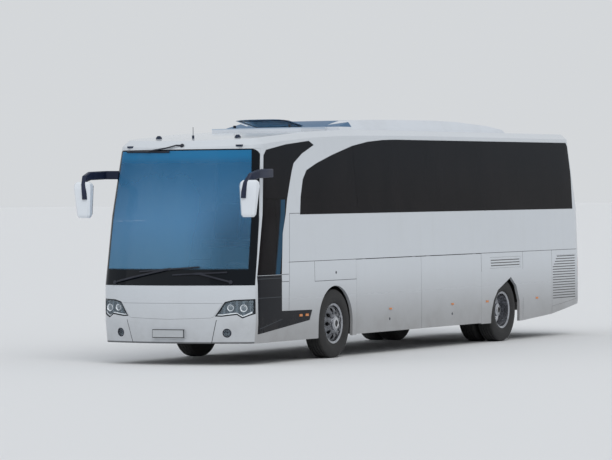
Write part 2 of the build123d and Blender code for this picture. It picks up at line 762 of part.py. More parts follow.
with BuildPart() as dashboard:
    add(side_prism([(5405, 850.3), (5560, 900), (5620, 1130), (5400, 1190), (5200, 1120), (5230, 1060),
                    (5360, 1040), (5360, 850.3)], -500, 1120))
    column = Plane(Location((5013, 660, 1330), (0, -35, 0)))
    with BuildSketch(column.offset(-390)):
        RegularPolygon(24, 12, major_radius=False)
    extrude(amount=400)
    with BuildSketch(column.offset(-14)):
        RegularPolygon(231, 24, major_radius=False)
        RegularPolygon(201, 24, major_radius=False, mode=Mode.SUBTRACT)
        RegularPolygon(60, 12, major_radius=False)
        Rectangle(26, 420)
    extrude(amount=26)
save(dashboard.part, "dashboard")


# Axles
beam_z = 514
kingpin_y = 1060
spindle_radius = 40
with BuildPart() as front_axle:
    add(box(steer_x - 50, steer_x + 50, -kingpin_y, kingpin_y, beam_z - 55, beam_z + 55))
    for side in (1, -1):
        y = side * kingpin_y
        add(box(steer_x - 200, steer_x + 200, y - 200, y + 200, beam_z - 60, beam_z + 60), mode=Mode.SUBTRACT)
        add(box(steer_x - 50, steer_x + 50, min(y, side * 800), max(y, side * 800), beam_z - 55, beam_z + 55))
        add(drum((steer_x, y, beam_z), "Z", 50, 60))
        add(rod((steer_x, y, beam_z), "Z", 20.06, 80), mode=Mode.SUBTRACT)
        add(box(steer_x - 380, steer_x + 380, side * 480 - 45, side * 480 + 45, beam_z + 30, beam_z + 110))
        for dx in (-310, 310):
            add(drum((steer_x + dx, side * 480, (beam_z + 90 + under_z - fit) / 2), "Z", 85,
                     (under_z - fit - beam_z - 90) / 2))
save(front_axle.part, "front_axle")

with BuildPart() as rear_axle:
    add(drum((drive_x, 0, beam_z), "Y", 85, 842))
    add(rod((drive_x, 0, beam_z), "Y", spindle_radius, 898))
    for side in (1, -1):
        add(drum((drive_x, side * 720, beam_z), "Y", 190, 70))
        for half_length, radius in ((180, 130), (110, 200), (50, 230)):
            add(drum((drive_x, 0, beam_z), "Y", radius, half_length))
    add(drum((drive_x - 250, 0, beam_z), "X", 75, 200))
    for side in (1, -1):
        add(box(drive_x - 420, drive_x + 420, side * 430 - 45, side * 430 + 45, beam_z + 40, beam_z + 130))
        for dx in (-350, 350):
            add(drum((drive_x + dx, side * 430, (beam_z + 90 + under_z - fit) / 2), "Z", 95,
                     (under_z - fit - beam_z - 90) / 2))
save(rear_axle.part, "rear_axle")

for side, name in ((1, "left"), (-1, "right")):
    y = side * kingpin_y
    with BuildPart() as knuckle:
        for z0, z1 in ((beam_z + 66, beam_z + 100), (beam_z - 100, beam_z - 66)):
            add(drum((steer_x, y, (z0 + z1) / 2), "Z", 52, (z1 - z0) / 2))
            add(box(steer_x - 52, steer_x + 52, min(y, y + side * 90), max(y, y + side * 90), z0, z1))
        add(box(steer_x - 52, steer_x + 52, min(y + side * 62, y + side * 92), max(y + side * 62, y + side * 92),
                beam_z - 100, beam_z + 100))
        add(rod((steer_x, y, beam_z), "Z", 20, 100))
        add(rod((steer_x, y + side * 118, beam_z), "Y", spindle_radius, 38))
    save(knuckle.part, "knuckle_" + name)


# Wheels: profiles are (distance outward from the tyre's middle, radius to the flats), in even flats
tyre_radius = 514
wheel_flats = 32
disc_flats = 20
tyre_profile = [(-103.8, 285.3), (-103.8, 301), (-130, 330), (-143, 395), (-130, 484), (-98, tyre_radius),
                (98, tyre_radius), (130, 484), (143, 395), (130, 330), (103.8, 301), (103.8, 285.3)]


def turned(profile, x, y, side, flats=wheel_flats):
    """A profile turned about a wheel's axle in flats, at a tyre's middle."""
    turn = 2 * pi / flats
    reach = 1 / cos(turn / 2)
    rings = []
    for i in range(flats):
        a = (i + 0.5) * turn
        rings.append([(x + r * reach * cos(a), y + side * out, beam_z + r * reach * sin(a)) for out, r in profile])
    flats_of_wheel = []
    for near, far in zip(rings, rings[1:] + rings[:1]):
        for i, (out, r) in enumerate(profile):
            j = (i + 1) % len(profile)
            corners = [near[i], near[j]]
            if profile[j][1] > 0:
                corners.append(far[j])
            if r > 0:
                corners.append(far[i])
            if len(corners) > 2:
                flats_of_wheel.append(Face(Wire.make_polygon(corners, close=True)))
    with BuildPart() as f:
        add(Solid(Shell(flats_of_wheel)))
    return f.part


barrel = [(-116, 300), (-104.3, 300), (-104.3, 285), (104.3, 285), (104.3, 300), (116, 300), (104, 268),
          (-104, 268)]
front_disc = [(60, 270), (82, 270), (118, 215), (134, 182), (134, 105), (120, 105), (120, 176), (105, 207)]
front_hub = [(157, 0), (157, 85), (150, 105), (41, 108), (41, 0)]
dual_disc = [(60, 270), (82, 270), (140, 215), (165, 185), (165, 105), (151, 105), (151, 176), (127, 207)]
inner_disc = [(60, 270), (82, 270), (165, 185), (165, 105), (151, 105), (151, 176)]
rear_hub = [(50, 0), (50, 60), (40, 104), (-165, 110), (-250, 110), (-250, 0)]
vents = 10
vent_radius = 29
vent_ring = 214


def vent_holes(x, y0, y1):
    """Holes through a disc, around a wheel's axle, each in the middle of a flat."""
    with BuildPart() as f:
        with BuildSketch(Plane(origin=(x, y0, beam_z), x_dir=(1, 0, 0), z_dir=(0, 1, 0))):
            with PolarLocations(vent_ring, vents):
                RegularPolygon(vent_radius, 8, major_radius=False)
        extrude(amount=y1 - y0)
    return f.part


with BuildPart() as tyre:
    add(turned(tyre_profile, steer_x, steer_wheel_y, 1))
with BuildPart() as rim:
    add(turned(barrel, steer_x, steer_wheel_y, 1))
    add(turned(front_disc, steer_x, steer_wheel_y, 1, disc_flats))
    add(vent_holes(steer_x, steer_wheel_y + 50, steer_wheel_y + 200), mode=Mode.SUBTRACT)
    add(turned(front_hub, steer_x, steer_wheel_y, 1, disc_flats))
    add(rod((steer_x, steer_wheel_y + 71, beam_z), "Y", spindle_radius + 0.05, 30), mode=Mode.SUBTRACT)
with BuildPart() as tyres:
    for y in (drive_wheel_y, drive_wheel_y - dual_gap):
        add(turned(tyre_profile, drive_x, y, 1))
with BuildPart() as rims:
    add(turned([(-a, r) for a, r in dual_disc], drive_x, drive_wheel_y, 1, disc_flats))
    add(vent_holes(drive_x, drive_wheel_y - 164.8, drive_wheel_y - 30), mode=Mode.SUBTRACT)
    add(turned(barrel, drive_x, drive_wheel_y, 1))
    add(turned(barrel, drive_x, drive_wheel_y - dual_gap, 1))
    add(turned(inner_disc, drive_x, drive_wheel_y - dual_gap, 1, disc_flats))
    add(turned(rear_hub, drive_x, drive_wheel_y, 1, disc_flats))
    add(rod((drive_x, drive_wheel_y - 225, beam_z), "Y", spindle_radius + 0.05, 25), mode=Mode.SUBTRACT)
for made, name in ((tyre, "tyre_front_"), (rim, "rim_front_"), (tyres, "tyres_rear_"), (rims, "rims_rear_")):
    save(made.part, name + "left")
    with BuildPart() as other_side:
        add(mirror(made.part, about=Plane.XZ))
    save(other_side.part, name + "right")

# Louvred plates
with BuildPart() as louvres:
    add(form(2))
    add(glass_in, mode=Mode.SUBTRACT)
    with BuildPart(mode=Mode.PRIVATE) as areas:
        for side in (1, -1):
            for outline in grilles:
                add(zone(outline, side, -3))
    add(areas.part, mode=Mode.INTERSECT)
    x1, x0 = grilles[0][1][0] - 40, grilles[0][3][0] + 40
    with BuildPart(mode=Mode.PRIVATE) as slots:
        for i in range(17):
            z = 640 + i * slat_pitch
            xs = x1 if z < 1180 else x1 - (z - 1180) - 20
            add(box(x0, xs, -2000, 2000, z, z + slot_height))
        for i in range(3):
            z = 1240 + i * slat_pitch
            add(box(-3500, -2360, -2000, 2000, z, z + slot_height))
    add(slots.part, mode=Mode.SUBTRACT)
save(louvres.part, "louvres")

# Mirrors: side, x of the shell's middle
mirrors = ((1, front_x + 100), (-1, front_x + 10))
mirror_y = 1395
# Shell, up from its foot: z, back, front, inner and outer edge from the middle
mirror_levels = (
    (2130, -22, 34, -100, 74),
    (2165, -45, 50, -118, 95),
    (2570, -64, 58, -135, 145),
    (2625, -62, 52, -125, 138),
    (2655, -50, 30, -90, 105),
)
mirror_plate = ((2180, -46, 8), (2565, -64, 8), (2600, -63, 8))
# Arm: x, y, z, heading, across, half width, half depth; from the pillar out, forward and down
mirror_arm = (
    ((5262, 1098, 2752), (0.35, 1, 0), (1, -0.35, 0), 30, 62),
    ((5400, 1395, 2754), (0.93, 0.37, 0), (0.37, -0.93, 0), 30, 62),
    ((5850, 1428, 2742), (1, 0, -0.15), (0, -1, 0), 30, 62),
    ((6020, 1405, 2700), (0.8, -0.2, -0.6), (-0.24, -0.97, 0), 32, 58),
    ((6098, 1368, 2612), (0.3, -0.15, -1), (-0.1, -1, 0), 36, 46),
    ((6125, 1348, 2500), (0, 0, -1), (0, -1, 0), 38, 35),
    ((6127, 1340, 2400), (0, 0, -1), (0, -1, 0), 38, 33),
)


def mirror_bar(side, shift, grow=0):
    """The arm of one side as a bar of eight flats; its tip moves by the shift, its root by a quarter."""
    with BuildPart() as f:
        for i, ((x, y, z), (hx, hy, hz), (ax, ay, az), half, deep) in enumerate(mirror_arm):
            moved = shift * (0.25, 0.35, 1, 1, 1, 1, 1)[i]
            w, d, cut = half + grow, deep + grow, 13
            with BuildSketch(Plane(origin=(x + moved, side * y, z), x_dir=(ax, side * ay, 0),
                                   z_dir=(hx, side * hy, hz))):
                Polygon((w, d - cut), (w - cut, d), (cut - w, d), (-w, d - cut), (-w, cut - d), (cut - w, -d),
                        (w - cut, -d), (w, cut - d), align=None)
        loft(ruled=True)
    return f.part


with BuildPart() as arms:
    for side, x in mirrors:
        add(mirror_bar(side, x - mirrors[0][1]))
    add(clear_of_body, mode=Mode.SUBTRACT)
    for side, x in mirrors:
        with BuildPart(mode=Mode.PRIVATE) as plate:
            for z, back, rim_in in mirror_plate:
                lean = (z - 2130) / 525
                y0, y1 = mirror_y - 112 - 18 * lean, mirror_y + 82 + 48 * lean
                with BuildSketch(Plane.XY.offset(z)):
                    Polygon((x + back - 12, side * y0), (x + back - fit, side * y0), (x + back - fit, side * y1),
                            (x + back - 12, side * y1), align=None)
            loft(ruled=True)
        add(plate.part)
save(arms.part, "mirror_arms")

with BuildPart() as shells:
    for side, x in mirrors:
        with BuildPart(mode=Mode.PRIVATE) as one:
            for z, back, front, inner_edge, outer_edge in mirror_levels:
                y0, y1, cut = mirror_y + inner_edge, mirror_y + outer_edge, 30 if z < 2640 else 22
                with BuildSketch(Plane.XY.offset(z)):
                    Polygon(*[(x + a, side * b) for a, b in (
                        (back, y0 + 8), (back + 8, y0), (front - cut, y0), (front, y0 + cut), (front, y1 - cut),
                        (front - cut, y1), (back + 8, y1), (back, y1 - 8))], align=None)
            loft(ruled=True)
        add(one.part)
    for side, x in mirrors:
        add(mirror_bar(side, x - mirrors[0][1], fit), mode=Mode.SUBTRACT)
save(shells.part, "mirror_shells")


def screen(y, z, off):
    """A point that far in front of the windscreen."""
    bow = nose_corner + (side_y(z) - nose_corner) * (nose_radius - nose_corner) / (half_width - nose_corner)
    return (nose_x(z) - y * y / (2 * bow) + off, y, z)


def strut(path, radius):
    """A bar of six flats along points in space."""
    with BuildPart() as f:
        for a, b in zip(path[:-1], path[1:]):
            along = (Vector(*b) - Vector(*a)).normalized()
            with BuildSketch(Plane(origin=Vector(*a) - along * radius * 0.5, z_dir=along)):
                RegularPolygon(radius, 6)
            extrude(amount=(Vector(*b) - Vector(*a)).length + radius)
    return f.part


# Wipers: pivot y, z, blade ends y, z
wiper_table = (
    (-978, 1189, -513, 1345, 475, 1412),
    (940, 1195, 60, 1300, 880, 1335),
    (42, 3161, -961, 3092, -155, 3080),
)
with BuildPart() as wipers:
    for py, pz, ay, az, by, bz in wiper_table:
        mid = screen((ay + by) / 2, (az + bz) / 2, 34)
        add(strut([screen(py, pz, -30), screen(py, pz, 40), mid], 15))
        add(strut([screen(ay, az, 24), mid, screen(by, bz, 24)], 13))
    add(clear_of_body, mode=Mode.SUBTRACT)
save(wipers.part, "wipers")

# Marker lamps and the aerial on the roof's front
marker_x = 5050
marker_y = 660
roof_lamp = (905, 3157)
with BuildPart() as roof_markers:
    crown = roof_z - (marker_x - roof_flat_from) ** 2 / (2 * roof_bow)
    for y in (-marker_y, marker_y):
        with BuildPart(mode=Mode.PRIVATE) as dome:
            for up, half in ((-20, 46), (16, 42), (42, 20)):
                with BuildSketch(Plane(origin=(marker_x, y, crown + up), x_dir=(1, 0, 0), z_dir=(0, 0, 1))):
                    RegularPolygon(half, 8, major_radius=False, rotation=22.5)
            loft(ruled=True)
        add(dome.part)
    add(drum((marker_x + 40, -60, crown + 10), "Z", 16, 30, 8))
    add(drum((marker_x + 40, -60, crown + 70), "Z", 4, 90, 6))
    for side in (1, -1):
        y, z = roof_lamp
        x = screen(y, z, 0)[0]
        add(box(x - 60, x + 14, min(side * (y - 48), side * (y + 48)), max(side * (y - 48), side * (y + 48)),
                z - 14, z + 14))
    add(clear_of_body, mode=Mode.SUBTRACT)
save(roof_markers.part, "roof_markers")
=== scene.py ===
import math

import bmesh
import bpy
from mathutils import Matrix, Vector
from mathutils.bvhtree import BVHTree

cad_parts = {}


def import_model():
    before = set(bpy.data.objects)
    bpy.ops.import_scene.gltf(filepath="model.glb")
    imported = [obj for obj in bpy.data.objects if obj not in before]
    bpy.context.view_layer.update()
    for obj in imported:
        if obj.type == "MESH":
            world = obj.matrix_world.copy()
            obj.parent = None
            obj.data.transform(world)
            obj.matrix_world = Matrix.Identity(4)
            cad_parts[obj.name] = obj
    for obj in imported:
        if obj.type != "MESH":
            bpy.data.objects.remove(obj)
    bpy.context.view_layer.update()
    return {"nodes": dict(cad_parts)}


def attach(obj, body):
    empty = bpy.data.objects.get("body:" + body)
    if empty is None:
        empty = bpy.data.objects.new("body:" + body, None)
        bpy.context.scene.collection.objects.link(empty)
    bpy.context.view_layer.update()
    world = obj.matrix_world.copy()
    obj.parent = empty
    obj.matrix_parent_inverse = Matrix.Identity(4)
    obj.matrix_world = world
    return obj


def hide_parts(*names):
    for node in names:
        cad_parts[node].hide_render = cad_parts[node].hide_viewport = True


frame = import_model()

# Metres: +X is the front, +Y the driver's (left) side, +Z is up and z 0 is the road.
nodes = frame["nodes"]

# Wheels: x of the steered and the driven axle, and their height
steer_x, drive_x, axle_z = 3.180, -2.900, 0.514


# Finishes
class Wire:
    """An output of a finish's nodes. Arithmetic on it adds the Math nodes."""

    def __init__(self, finish, socket):
        self.finish, self.socket = finish, socket

    def _calc(self, operation, *values):
        return self.finish.node("ShaderNodeMath", {"operation": operation}, dict(enumerate(values)))

    def __add__(self, other):
        return self._calc("ADD", self, other)

    __radd__ = __add__

    def __mul__(self, other):
        return self._calc("MULTIPLY", self, other)

    __rmul__ = __mul__

    def __sub__(self, other):
        return self._calc("SUBTRACT", self, other)

    def __rsub__(self, other):
        return self._calc("SUBTRACT", other, self)

    def __gt__(self, other):
        return self._calc("GREATER_THAN", self, other)

    def __lt__(self, other):
        return self._calc("LESS_THAN", self, other)

    def __abs__(self):
        return self._calc("ABSOLUTE", self)

    def __mod__(self, other):
        return self._calc("FLOORED_MODULO", self, other)

    def __pow__(self, other):
        return self._calc("POWER", self, other)

    def sin(self):
        return self._calc("SINE", self)

    def wave(self, pitch):
        """0 to 1 and back, that many radians a metre."""
        return (self * pitch).sin() * 0.5 + 0.5

    def highest(self, other):
        return self._calc("MAXIMUM", self, other)

    def lowest(self, other):
        return self._calc("MINIMUM", self, other)

    def within(self, low, high):
        """1 between two values, 0 outside."""
        return (self > low) * (self < high)

    def line(self, at, width):
        """1 on a line of that width, 0 elsewhere."""
        return abs(self - at) < width / 2

    def rise(self, low, high):
        """0 below low, 1 above high, smooth between."""
        return self.finish.node("ShaderNodeMapRange", {"interpolation_type": "SMOOTHSTEP"},
                                {0: self, 1: low, 2: high, 3: 0.0, 4: 1.0})


class Finish:
    """A material whose nodes are added one by one; shader() sets what the light sees."""

    def __init__(self, name):
        self.material = bpy.data.materials.new(name)
        self.material.use_nodes = True
        self.tree = self.material.node_tree
        self.shader_node = self.tree.nodes["Principled BSDF"]
        self.place = self.node("ShaderNodeTexCoord", {}, {}, "Object")
        apart = self.tree.nodes.new("ShaderNodeSeparateXYZ")
        self.tree.links.new(self.place.socket, apart.inputs[0])
        self.x, self.y, self.z = (Wire(self, s) for s in apart.outputs)

    def feed(self, socket, value):
        if isinstance(value, Wire):
            self.tree.links.new(value.socket, socket)
        elif isinstance(value, tuple) and len(value) == 3 and len(socket.default_value) == 4:
            socket.default_value = (*value, 1.0)
        else:
            socket.default_value = value

    def node(self, kind, settings, values, output=0):
        made = self.tree.nodes.new(kind)
        for name, value in settings.items():
            setattr(made, name, value)
        for key, value in values.items():
            self.feed(made.inputs[key], value)
        return Wire(self, made.outputs[output])

    def noise(self, size, detail=3.0, roughness=0.55, stretch=(1, 1, 1)):
        """Cloudy noise whose patches are about that many metres across."""
        spot = self.node("ShaderNodeVectorMath", {"operation": "MULTIPLY"},
                         {0: self.place, 1: tuple(s / size for s in stretch)})
        values = {"Vector": spot, "Scale": 1.0, "Detail": detail, "Roughness": roughness}
        return self.node("ShaderNodeTexNoise", {}, values)

    def cells(self, size):
        """Pebbles of about that many metres."""
        spot = self.node("ShaderNodeVectorMath", {"operation": "MULTIPLY"}, {0: self.place, 1: (1 / size,) * 3})
        return self.node("ShaderNodeTexVoronoi", {"feature": "F1"}, {"Vector": spot, "Scale": 1.0})

    def mix(self, factor, first, second):
        """first where the factor is 0, second where it is 1."""
        made = self.tree.nodes.new("ShaderNodeMix")
        made.data_type = "RGBA"
        colours = [s for s in made.inputs if s.type == "RGBA"]
        self.feed(made.inputs[0], factor)
        self.feed(colours[0], first)
        self.feed(colours[1], second)
        return Wire(self, [s for s in made.outputs if s.type == "RGBA"][0])

    def bump(self, height, depth, strength=1.0):
        """Relief of that many metres."""
        return self.node("ShaderNodeBump", {}, {"Height": height, "Distance": depth, "Strength": strength})

    def shader(self, **values):
        for name, value in values.items():
            self.feed(self.shader_node.inputs[name.replace("_", " ").title().replace("Ior", "IOR")], value)
        return self.material


# Seams in the painted sides: x and z of both ends
left_seams = (
    (-5.860, 1.460, 4.658, 1.460),
    (3.845, 1.160, 3.845, 1.460),
    (2.483, 1.160, 3.845, 1.160),
    (4.672, 0.764, 4.594, 2.168),
    (4.267, 2.168, 4.594, 2.168),
    (-3.620, 1.170, -3.620, 1.460),
    (-3.620, 0.360, -3.620, 0.700),
    (-4.810, 0.420, -4.810, 1.460),
    (-1.990, 1.160, -1.990, 1.460),
    (4.660, 1.180, 4.880, 1.180),
    (4.660, 1.285, 4.880, 1.285),
    (4.880, 1.180, 4.880, 1.285),
)
right_seams = (
    (-5.860, 1.460, -1.770, 1.460),
    (-0.970, 1.460, 4.440, 1.460),
    (3.845, 1.160, 3.845, 1.460),
    (2.483, 1.160, 3.845, 1.160),
    (-3.620, 1.170, -3.620, 1.460),
    (-3.620, 0.360, -3.620, 0.700),
    (-4.810, 0.420, -4.810, 1.460),
    (5.330, 1.285, 5.600, 1.285),
)
# Seams in the bumper: half width and z of both ends
bumper_seams = ((0.646, 0.300, 0.742, 0.660),)
seam_width = 0.009


def seam_lines(across, up, table, width):
    """1 on the lines of a table, drawn by two coordinates."""
    drawn = None
    for a0, b0, a1, b1 in table:
        one = None
        for here, there, h0, t0, h1, t1 in ((across, up, a0, b0, a1, b1), (up, across, b0, a0, b1, a1)):
            if one is None and abs(t1 - t0) >= abs(h1 - h0):
                slope = (h1 - h0) / (t1 - t0)
                one = ((here - there * slope).line(h0 - t0 * slope, width * math.hypot(1, slope))
                       * there.within(min(t0, t1), max(t0, t1)))
        drawn = one if drawn is None else drawn.highest(one)
    return drawn


def inside(across, up, outline):
    """1 inside a convex outline, its corners counterclockwise."""
    mask = None
    for (a0, b0), (a1, b1) in zip(outline, outline[1:] + outline[:1]):
        one = (up - b0) * (a1 - a0) - (across - a0) * (b1 - b0) > 0
        mask = one if mask is None else mask * one
    return mask


# Edges of the lids in the dark panel: x and z of both ends
lid_edges = (
    (3.940, 0.961, 5.640, 0.961),
    (4.872, 0.760, 4.872, 1.280),
    (4.872, 0.640, 5.560, 0.520),
    (4.872, 1.235, 5.590, 1.235),
)
# Outline of a headlamp (half width, z)
lamp_outline = ((0.715, 0.706), (0.818, 0.703), (1.024, 0.728), (1.102, 0.676), (1.248, 0.738),
                (1.248, 0.953), (0.976, 0.943), (0.858, 0.914))
lamp_edges = [(*a, *b) for a, b in zip(lamp_outline, lamp_outline[1:] + lamp_outline[:1])]
# Louvred plates (x, z): what lies behind their slots is painted dark, as shade
vents = (
    ((-5.840, 0.600), (-4.805, 0.500), (-4.805, 1.376), (-5.840, 1.376)),
    ((-3.535, 1.200), (-2.325, 1.200), (-2.325, 1.389), (-3.535, 1.389)),
)
vent_face = 1.267
# Sides of the body start at this half width, the bumper's face and its plate holder at these x
side_start, bumper_start, holder_start = 1.0, 5.6, 5.974
dark_line = (0.075, 0.080, 0.090)


def sill_shade_and_splash(f):
    """Painted shade that also dulls the gloss: even at the sill, gone at the waist; and the road's splashes in
    it.
    """
    # painted shade: darkest at the sill, gone at the waist
    even = 1 - f.z.rise(0.30, 1.45)
    splash = (1 - f.z.rise(0.30, 1.00)) * f.noise(0.35, 6.0, 0.65).rise(0.35, 0.8)
    return even, splash


def body_paint(name, seams=False, bumper=False, sill_shade=0.90):
    """Gloss cool white paint: faint orange peel, that much painted shade at the sill, dark seams."""
    f = Finish(name)
    even, splash = sill_shade_and_splash(f)
    streaks = f.noise(0.16, 4.0, 0.6, (1, 1, 0.12)).rise(0.45, 0.85)
    colour = f.mix(f.noise(1.4, 2.0), (0.575, 0.610, 0.650), (0.535, 0.568, 0.606))
    colour = f.mix(streaks * 0.08, colour, (0.42, 0.42, 0.41))
    # painted shade towards the sill
    colour = f.mix(even * sill_shade, colour, (0.290, 0.292, 0.298))
    colour = f.mix(splash * 0.35, colour, (0.25, 0.245, 0.235))
    roughness = 0.22 + even * 0.12 + splash * 0.25
    height = f.noise(0.012, 1.0) * 0.5
    if seams:
        left = seam_lines(f.x, f.z, left_seams, seam_width) * (f.y > side_start)
        right = seam_lines(f.x, f.z, right_seams, seam_width) * (f.y < -side_start)
        seam = left.highest(right)
        # the wall behind the louvre slots painted dark, as shade
        behind = inside(f.x, f.z, vents[0]).highest(inside(f.x, f.z, vents[1])) * (abs(f.y) < vent_face)
        colour = f.mix(seam, colour, dark_line)
        colour = f.mix(behind, colour, (0.030, 0.031, 0.034))
        roughness = roughness + seam * 0.4
        height = height - seam * 6.0
    if bumper:
        seam = seam_lines(abs(f.y), f.z, bumper_seams, 0.010) * (f.x > bumper_start)
        lip = 1 - f.z.rise(0.330, 0.345)
        holder = (f.x > holder_start) * (abs(f.y) < 0.262) * f.z.within(0.395, 0.522)
        dark = seam.highest(holder).highest(lip * 0.85)
        colour = f.mix(dark, colour, (0.022, 0.024, 0.028))
        roughness = roughness + dark * 0.3
    return f.shader(base_color=colour, roughness=roughness, coat_weight=0.30, coat_roughness=0.08,
                    normal=f.bump(height, 0.0004, 0.35))


def lit_shell_paint():
    """White paint of the mirror shells, clean high above the road, painted lighter than the body's paint as
    light falling on them.
    """
    f = Finish("mirror_shell_paint")
    # lighter than the body's paint: painted light
    colour = f.mix(f.noise(0.4, 3.0), (0.690, 0.730, 0.775), (0.640, 0.680, 0.725))
    return f.shader(base_color=colour, roughness=0.22, coat_weight=0.3,
                    normal=f.bump(f.noise(0.012, 1.0), 0.0002, 0.35))


def dark_paint():
    """Gloss anthracite under the driver's window, dusty at the foot, with the edges of its lids painted lighter
    as a highlight.
    """
    f = Finish("anthracite_paint")
    splash = sill_shade_and_splash(f)[1]
    seam = seam_lines(f.x, f.z, lid_edges, 0.008)
    colour = f.mix(f.noise(0.6), (0.011, 0.012, 0.015), (0.017, 0.018, 0.022))
    colour = f.mix(splash * 0.35, colour, (0.070, 0.066, 0.060))
    # lid edges painted lighter: a painted highlight
    colour = f.mix(seam, colour, (0.060, 0.068, 0.078))
    return f.shader(base_color=colour, roughness=0.20 + splash * 0.30, specular_ior_level=0.07,
                    normal=f.bump(f.noise(0.014, 1.0), 0.0003, 0.4))


covering_foot = 1.325


def floor_mat():
    """Grey ribbed aisle covering above the floor line, black coating under it."""
    f = Finish("cabin_floor")
    above = f.z > covering_foot
    rib = f.y.wave(400)
    mud = f.noise(0.35, 6.0, 0.7).rise(0.45, 0.75)
    coat = f.mix(mud * 0.6, (0.020, 0.020, 0.021), (0.060, 0.055, 0.048))
    cover = f.mix(f.noise(0.01, 2.0), (0.10, 0.105, 0.12), (0.15, 0.155, 0.17))
    return f.shader(base_color=f.mix(above, coat, cover), roughness=0.7,
                    normal=f.bump(rib * above, 0.002, 0.5))


def tinted_glass(name, lines=(), strip=None):
    """Dark safety glass with faint smears; lines are its frames, the strip its bluish rear edge."""
    f = Finish(name)
    smear = f.noise(0.5, 4.0, 0.6, (1, 1, 0.4)).rise(0.3, 0.9)
    colour = f.mix(smear, (0.0065, 0.0060, 0.0075), (0.0120, 0.0100, 0.0110))
    colour = f.mix(f.z.rise(2.2, 3.2) * 0.5, colour, (0.006, 0.010, 0.016))
    alpha = 0.86 + smear * 0.04
    if lines:
        line = seam_lines(f.x, f.z, lines, 0.022) * (f.y > side_start)
        colour = f.mix(line, colour, (0.003, 0.003, 0.003))
        alpha = alpha.highest(line)
    if strip:
        x0, z0, x1, z1, wide = strip
        slope = (x1 - x0) / (z1 - z0)
        edge = (f.x - f.z * slope) - (x0 - z0 * slope)
        band = edge.rise(0.030, 0.045) * (1 - edge.rise(wide - 0.05, wide))
        band = band * f.z.within(z0, z1) * (f.y > side_start)
        colour = f.mix(band, colour, (0.016, 0.060, 0.110))
        alpha = alpha.highest(band * 0.96)
    return f.shader(base_color=colour, roughness=0.03 + smear * 0.05, alpha=alpha, ior=1.45,
                    specular_ior_level=0.06)


def windscreen_glass():
    """Laminated glass with a deep blue shade band; below it the glass is painted blue as sky reflection, paler
    below and thinner low on the driver's side; its border black, its top corners white.
    """
    f = Finish("windscreen_glass")
    across = abs(f.y)
    edge = 1.244 - (f.z - 1.20) * 0.018 - (f.z - 2.10).highest(0) * 0.058
    corner_z, corner_radius = 3.020, 0.092
    smear = f.noise(0.7, 4.0, 0.6, (1, 1, 0.5)).rise(0.35, 0.9)
    # painted sky reflection below the shade band
    colour = f.mix(f.z.rise(1.35, 2.20), (0.095, 0.235, 0.385), (0.105, 0.275, 0.490))
    colour = f.mix(f.z.rise(2.00, 3.00), colour, (0.028, 0.150, 0.315))
    colour = f.mix(smear * 0.25, colour, (0.130, 0.270, 0.400))
    shade = f.z.rise(2.88, 3.03)
    colour = f.mix(shade, colour, (0.020, 0.165, 0.350))
    # the painted reflection thins low on the driver's side
    clearer = f.y.rise(0.10, 0.90) * (1 - f.z.rise(1.8, 2.9))
    # opacity of the painted reflection, with the real shade band and smears
    haze = 0.62 - clearer * 0.36 + shade * 0.25 + smear * 0.05
    foot = 1 - f.z.rise(1.375, 1.400)
    side = (across - edge).rise(-0.085, -0.075)
    rim = f.z.rise(3.090, 3.094)
    border = foot.highest(side).highest(rim)
    out, up = (across - (edge - 0.090)).highest(0), (f.z - corner_z).highest(0)
    corner = (out ** 2 + up ** 2) ** 0.5 > corner_radius
    colour = f.mix(border, colour, (0.0045, 0.0065, 0.0095))
    colour = f.mix(corner, colour, (0.560, 0.595, 0.635))
    return f.shader(base_color=colour, roughness=0.03 + smear * 0.04,
                    alpha=haze.highest(border).highest(corner), ior=1.5, specular_ior_level=0.13)


def clear_lens():
    """Clear lamp cover, its edge bedded in a dark gasket."""
    f = Finish("clear_lens")
    gasket = seam_lines(abs(f.y), f.z, lamp_edges, 0.036) * (f.z > 0.6)
    flute = f.y.wave(260) * f.z.rise(0.90, 0.92)
    colour = f.mix(f.noise(0.2), (0.55, 0.66, 0.74), (0.66, 0.75, 0.82))
    colour = f.mix(gasket, colour, (0.008, 0.011, 0.014))
    return f.shader(base_color=colour, roughness=0.04, alpha=(0.06 + flute * 0.06).highest(gasket), ior=1.49,
                    specular_ior_level=0.25, normal=f.bump(flute, 0.001, 0.6))


def reflector():
    """Smoked bowl coating with stepped facets, their glints painted in as lighter stripes."""
    f = Finish("lamp_reflector")
    facet = f.cells(0.022)
    steps = f.y.wave(70).rise(0.55, 0.95)
    colour = f.mix(f.noise(0.08), (0.020, 0.030, 0.042), (0.060, 0.085, 0.105))
    # lighter stripes: painted glints on the steps
    colour = f.mix(steps * 0.35, colour, (0.30, 0.38, 0.45))
    return f.shader(base_color=colour, roughness=0.20 + f.noise(0.03) * 0.1, metallic=0.85,
                    normal=f.bump(facet, 0.003, 0.6))


def bright_chrome():
    """Bright trim inside the lamps."""
    f = Finish("bright_chrome")
    return f.shader(base_color=f.mix(f.noise(0.05), (0.90, 0.93, 0.96), (0.74, 0.80, 0.86)),
                    roughness=0.15 + f.noise(0.02) * 0.08, metallic=0.15)


def lamp_glass():
    """Dome of a projector lamp: dark, wet-looking glass with a bluish heart."""
    f = Finish("projector_glass")
    colour = f.mix(f.cells(0.02), (0.020, 0.035, 0.050), (0.080, 0.120, 0.150))
    return f.shader(base_color=colour, roughness=0.03, coat_weight=1.0, specular_ior_level=0.9)


